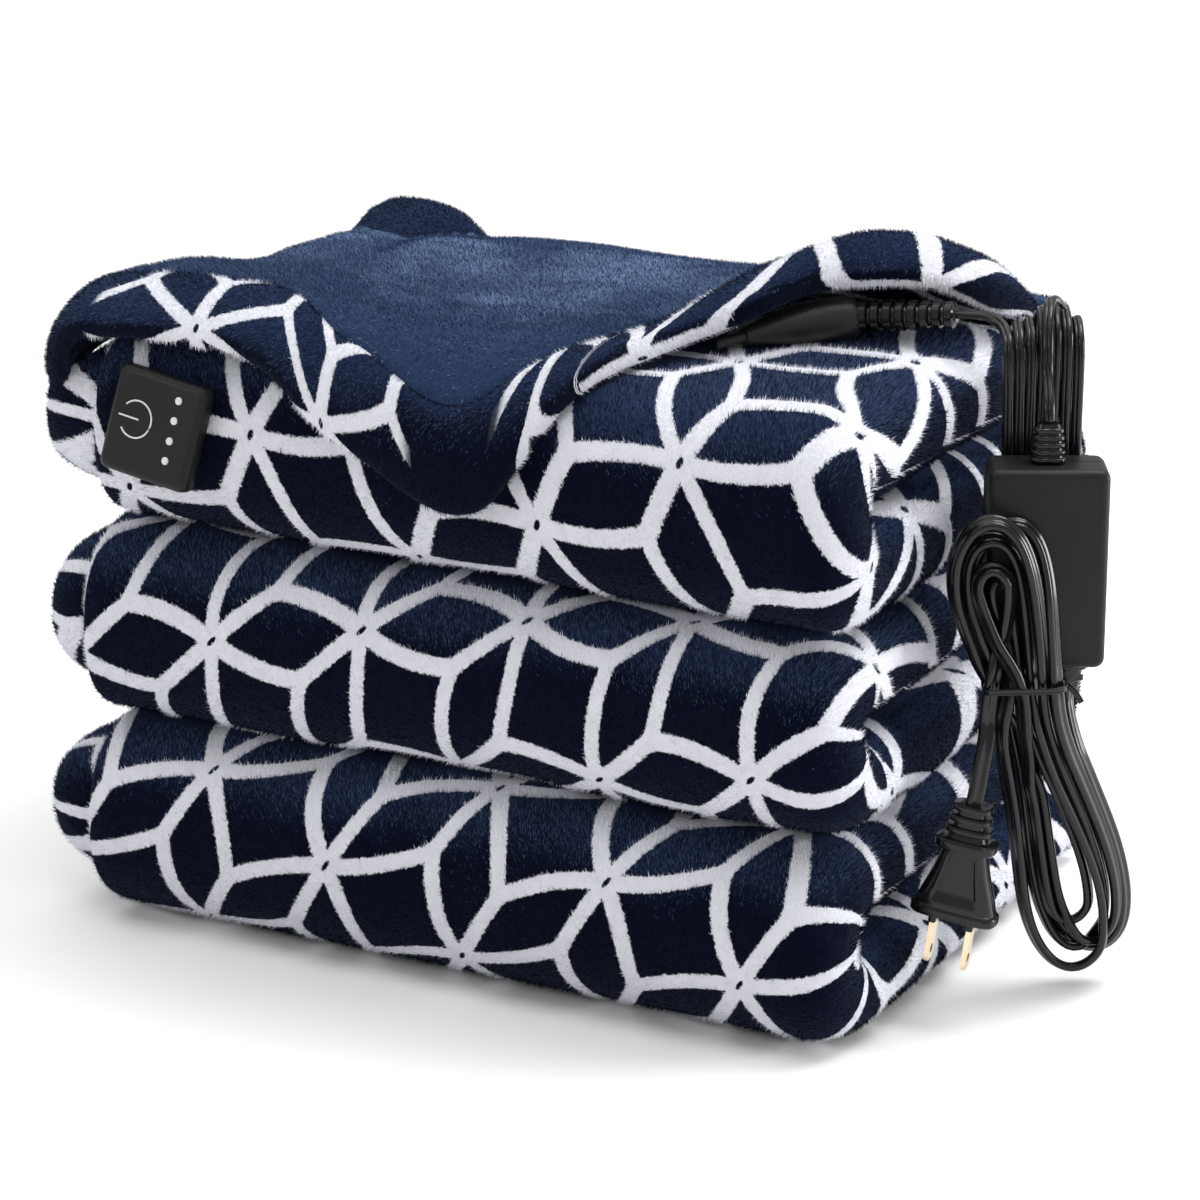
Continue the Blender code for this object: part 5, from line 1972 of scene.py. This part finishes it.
@dataclass
class LowVoltageConnector:
    """Swelling connector body with its thin nose, and the broad-ribbed relief behind it. Millimetres."""

    route: Rows = ((75, -46, 219.6), (85.5, -31, 221.8), (96.5, -18.5, 223.8), (109.5, -9.6, 225.4))
    relief_end: Place = (144.0, -4.6, 228.6)
    body: Rows = ((0, 1.5), (0.01, 1.9), (0.21, 2.2), (0.212, 3), (0.24, 3.5), (0.34, 4.5), (0.5, 6),
                  (0.66, 7.1), (0.8, 7.6), (0.92, 7.5), (0.965, 7.2), (0.99, 6.5), (1, 5.6))
    ribs: int = 8

    def ring(self, centre: np.ndarray, tangent: np.ndarray, wide: float, thick: float) -> np.ndarray:
        """Oval ring about a centre, its width level.

        Args:
            centre: Its centre.
            tangent: Way that it faces.
            wide: Half width.
            thick: Half thickness.

        Returns:
            Rows of points.
        """
        side = unit(np.cross(tangent, (0.0, 0.0, 1.0)))
        rise = np.cross(side, tangent)
        return np.array([(centre + side * x + rise * y) * MM for x, y in oval_ring(wide, thick, 2.3, 36)])

    def build(self, jacket: bpy.types.Material, speckled: bpy.types.Material) -> None:
        """Build the body and the relief.

        Args:
            jacket: Finish of the relief.
            speckled: Finish of the body.
        """
        path = through(self.route, 0.5)
        run = np.linspace(0, 1, len(path))
        tangent = unit(np.gradient(path, axis=0))
        shares, radii = np.array(self.body).T
        fine = np.unique(np.concatenate([shares, np.linspace(0.24, 0.96, 26)]))
        rings = []
        for share in fine:
            way = unit(read_at(share, run, tangent))
            radius = float(np.interp(share, shares, radii))
            rings.append(self.ring(read_at(share, run, path), way, radius, radius * 0.96))
        body = loft("connector_body", rings, speckled, 50.0)
        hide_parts("dc_connector")
        start, end = path[-1], np.array(self.relief_end)
        way = unit(end - start)
        length = float(np.linalg.norm(end - start))
        start = start + way * 0.3
        rings = [self.ring(start, way, 4.6, 4.4)]
        pitch = (length - 1.6) / self.ribs
        for k in range(self.ribs):
            big, small = 6.1 - 0.17 * k, 4.5 - 0.16 * k
            for share, radius in ((0.0, small), (0.16, small), (0.2, big - 0.5), (0.3, big),
                                  (0.8, big - 0.05), (0.9, big - 0.5), (0.94, small)):
                rings.append(self.ring(start + way * (0.4 + pitch * (k + share)), way, radius, radius * 0.92))
        rings.append(self.ring(start + way * (length - 0.8), way, 2.9, 2.5))
        relief = loft("connector_relief", rings, jacket, 42.0)
        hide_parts("dc_relief")


@dataclass
class PowerAdapter:
    """Adapter block with rounded edges and a parting line, a channelled relief above, a collar below."""

    wide: float = 39.6
    deep: float = 21.5
    high: float = 67.5
    place: Place = (14.0, 11.4, 153.5)

    def build(self, satin: bpy.types.Material, jacket: bpy.types.Material) -> None:
        """Build the block and its reliefs.

        Args:
            satin: Finish of the block.
            jacket: Finish of the reliefs.
        """
        side, fore, height = self.place
        half = self.deep / 2
        rows = ((-half, 2.6), (-half + 0.25, 1.5), (-half + 0.8, 0.7), (-half + 1.7, 0.12),
                (-half + 2.6, 0.0), (-1.75, 0.0), (-1.65, 0.3), (-1.25, 0.3), (-1.15, 0.0),
                (half - 2.6, 0.0), (half - 1.7, 0.12), (half - 0.8, 0.7), (half - 0.25, 1.5), (half, 2.6))
        rings = []
        for out, inset in rows:
            ring = rounded_ring(self.wide - 2 * inset, self.high - 2 * inset, max(1.2, 3.4 - inset * 0.7))
            rings.append(np.array([hang(side + x, fore + out, height + y) for x, y in ring]))
        block = loft("adapter_block", rings, satin, 60.0, "satin_plastic")
        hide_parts("adapter_case")
        self.top_relief(jacket)
        self.low_relief(jacket)

    def top_relief(self, jacket: bpy.types.Material) -> None:
        """Five ribs on each side of a channel, above the block.

        Args:
            jacket: Its finish.
        """
        side, fore, height = self.place
        base = height + self.high / 2 + 0.3
        rings = []
        for k in range(5):
            wide, low = 5.7 - 0.22 * k, base + 2.45 * k
            for up, grow in ((0.15, -0.9), (0.3, -0.25), (0.6, 0.0), (1.5, 0.0), (1.8, -0.25), (1.95, -0.9)):
                rings.append(self.channelled(side, fore, low + up, wide + grow))
        rings.append(self.channelled(side, fore, base + 13.0, 3.4))
        relief = loft("adapter_collar_top", rings, jacket, 45.0)
        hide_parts("adapter_relief_top")

    def channelled(self, side: float, fore: float, height: float, wide: float) -> np.ndarray:
        """Ring of the top relief, pinched at the middle of its front and back.

        Args:
            side: Its centre's side.
            fore: Its centre's depth.
            height: Its height.
            wide: Half width.

        Returns:
            Rows of points.
        """
        ring = oval_ring(wide, wide * 0.72, 3.2, 48)
        pinch = 1 - 0.16 * np.exp(-(ring[:, 0] / 1.2) ** 4)
        return np.array([hang(side + x, fore + y * p, height) for (x, y), p in zip(ring, pinch)])

    def low_relief(self, jacket: bpy.types.Material) -> None:
        """Collar and tapering sleeve where the mains lead leaves the block.

        Args:
            jacket: Its finish.
        """
        side, fore, height = self.place
        top = height - self.high / 2 - 0.3
        rings = []
        for down, wide in ((0.0, 5.9), (0.3, 6.2), (2.2, 6.2), (2.5, 5.8), (2.6, 4.7), (4.2, 4.5), (4.3, 4.0),
                           (4.9, 4.0), (5.0, 4.3), (6.4, 4.1), (6.5, 3.7), (7.1, 3.7), (7.2, 3.9), (9.6, 3.6),
                           (10.0, 3.3)):
            rings.append(np.array([hang(side + 9 + x, fore + y, top - down)
                                   for x, y in oval_ring(wide, wide * 0.72, 2.6, 36)]))
        relief = loft("adapter_collar_low", rings, jacket, 45.0)
        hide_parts("adapter_relief_low")


@dataclass
class WallPlug:
    """Two-blade plug: ribbed neck, winged collar, flaring body with a sunk panel, lip and blade sleeves."""

    place: Place = (-9.0, 34.5, 77.5)
    lean: float = math.radians(8.0)
    turn: float = math.radians(-20.0)
    pitch: float = 12.7
    rows: Rows = (
        (0, 4.2, 3.2), (0.2, 6.2, 4.4), (0.6, 6.6, 4.6), (1.9, 6.6, 4.6), (2.3, 6.2, 4.4), (2.5, 4.6, 3.5),
        (3.9, 4.6, 3.6), (4.1, 6.6, 4.6), (4.5, 7, 4.8), (5.8, 7, 4.8), (6.2, 6.6, 4.6), (6.4, 5.2, 3.9),
        (7.8, 5.2, 4), (8, 7.4, 5), (8.4, 7.8, 5.2), (9.7, 7.8, 5.2), (10.1, 7.4, 5), (10.4, 6.2, 4.5),
        (12, 6.8, 4.8), (12.2, 9.8, 6.1), (12.7, 10.4, 6.4), (15.2, 10.2, 6.4), (15.8, 9.6, 6.1),
        (16.1, 7.4, 5.1), (18, 7.9, 5.1), (20, 8.4, 5.2), (22, 8.9, 5.3), (24, 9.5, 5.4), (26, 10.2, 5.5),
        (28, 10.9, 5.6), (30, 11.6, 5.7), (32, 12.3, 5.8), (34, 12.9, 5.9), (35.6, 13.4, 6),
        (36.2, 13.6, 6), (36.6, 14.3, 6.4), (37.2, 14.7, 6.7), (39.4, 14.7, 6.7), (40, 14.2, 6.3))

    def matrix(self) -> Matrix:
        """Place of the plug in the frame.

        Returns:
            The matrix.
        """
        side, fore, height = self.place
        inner = Matrix.Translation(Vector((side, -fore, height)) * MM)
        inner = inner @ Matrix.Rotation(self.lean, 4, "Y") @ Matrix.Rotation(self.turn, 4, "Z")
        return Matrix.Translation(HANG) @ Matrix.Rotation(HANG_YAW, 4, "Z") @ inner

    def build(self, jacket: bpy.types.Material) -> List[bpy.types.Object]:
        """Build the body and the blades' sleeves.

        Args:
            jacket: Its finish.

        Returns:
            The body and the sleeves.
        """
        place = self.matrix()
        rings = []
        for down, wide, thick in self.rows:
            ring = oval_ring(wide, thick, 3.6, 72)
            for k, (x, y) in enumerate(ring):
                inside = 1 - eased((abs(x) - wide * 0.55) / 0.5)
                tall = eased(down - 19.0) * (1 - eased(down - 33.0))
                ring[k, 1] = y - math.copysign(0.7, y) * inside * tall
            rings.append(np.array([place @ (Vector((x, y, -down)) * MM) for x, y in ring]))
        body = loft("plug_shell", rings, jacket, 36.0)
        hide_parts("plug_body")
        sleeves = []
        for sign, label in ((-1, "left"), (1, "right")):
            rings = [np.array([place @ (Vector((sign * self.pitch / 2 + x, y, -down)) * MM)
                               for x, y in rounded_ring(wide, high, 0.5, 4)])
                     for down, wide, high in ((39.8, 2.7, 7.6), (42.6, 2.6, 7.5), (43.0, 2.1, 7.0))]
            sleeves.append(loft("blade_sleeve_" + label, rings, jacket, 36.0))
        return [body, *sleeves]


@dataclass
class TwistTie:
    """Flat wire tie round the hank's waist, its two short ends free at the right. Millimetres."""

    height: float = 116.0
    middle: float = 6.92
    half: float = 12.0
    fore: float = 27.7
    deep: float = 5.5
    first_end: Rows = ((5.2, 2.4, -5.0), (3.6, 1.6, -2.6), (1.6, 0.5, -0.4))
    last_end: Rows = ((1.4, -0.2, 1.6), (3.4, -1.2, 2.2), (5.8, -2.0, 2.4))

    def build(self, jacket: bpy.types.Material) -> None:
        """Build the tie.

        Args:
            jacket: Its finish.
        """
        rx, ry = self.half + 1.6, self.deep + 1.5
        loop = []
        for i in range(33):
            a = 2 * math.pi * i / 32
            c, s = math.cos(a), math.sin(a)
            loop.append((self.middle + rx * math.copysign(abs(c) ** 0.4, c),
                         self.fore + ry * math.copysign(abs(s) ** 0.4, s),
                         self.height + 0.8 * c + 0.5 * i / 32))
        knot = self.middle + rx
        # the free ends, right of the knot, forward and up
        first, last = [[(knot + side, self.fore + fore, self.height + up) for side, fore, up in ends]
                       for ends in (self.first_end, self.last_end)]
        path = np.array([hang(*p) for p in through(first + loop + last, 0.9)])
        toward = np.tile(np.array((0.0, 0.0, 1.0)), (len(path), 1))
        band = sweep("twist_tie", path, CordShape(2.1 * MM, 0.7 * MM), toward + 1e-4, np.zeros(len(path)))
        dressed(band, jacket, "cord_jacket")
        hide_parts("hank_tie")


class HardParts:
    """Finishes of the plastics and the brass, and the pieces made of them."""

    satin = PlasticFinish("satin_plastic", (0.010, 0.010, 0.0098), 0.42, 1400.0, 0.25, gloss=0.2)
    speckled = PlasticFinish("speckled_plastic", (0.012, 0.012, 0.0125), 0.36, 1500.0, 0.9, gloss=0.34)
    jacket = PlasticFinish("cord_jacket", (0.005, 0.005, 0.0055), 0.2, 500.0, 0.08, coat=0.2, gloss=0.24)
    brass = PlasticFinish("blade_brass", (0.80, 0.64, 0.42), 0.24, 700.0, 0.06, metallic=1.0, gloss=0.5)
    marks = PlasticFinish("pale_marks", (0.62, 0.62, 0.60), 0.4, 900.0, 0.1, gloss=0.4)

    def build(self) -> List[bpy.types.Object]:
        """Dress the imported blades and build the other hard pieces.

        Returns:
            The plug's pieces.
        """
        satin, self.cord_material = self.satin.material(), self.jacket.material()
        brass = self.brass.material()
        slots = {part["node"]: part["material_slot"] for part in frame["record"]["subparts"]}
        for name, obj in frame["nodes"].items():
            obj.data.materials.clear()
            obj.data.materials.append(brass if slots.get(name) == "blade_brass" else self.cord_material)
        ButtonController().build(satin, self.marks.material())
        LowVoltageConnector().build(self.cord_material, self.speckled.material())
        PowerAdapter().build(satin, self.cord_material)
        TwistTie().build(self.cord_material)
        return WallPlug().build(self.cord_material)


def main() -> None:
    """Build the studio and every piece in order."""
    logging.basicConfig(level=logging.INFO, format="%(name)s: %(message)s")
    noise.seed_set(NOISE_SEED)
    Studio().build()
    LOG.info("studio ready")
    hard = HardParts()
    plug = hard.build()
    LOG.info("hard parts built")
    LowVoltageCord().build(hard.cord_material)
    MainsCord().build(hard.cord_material, plug)
    cloth = HeatedBlanket().build()
    LOG.info("%s: %d faces", cloth.name, len(cloth.data.polygons))


if __name__ == "__main__":
    main()
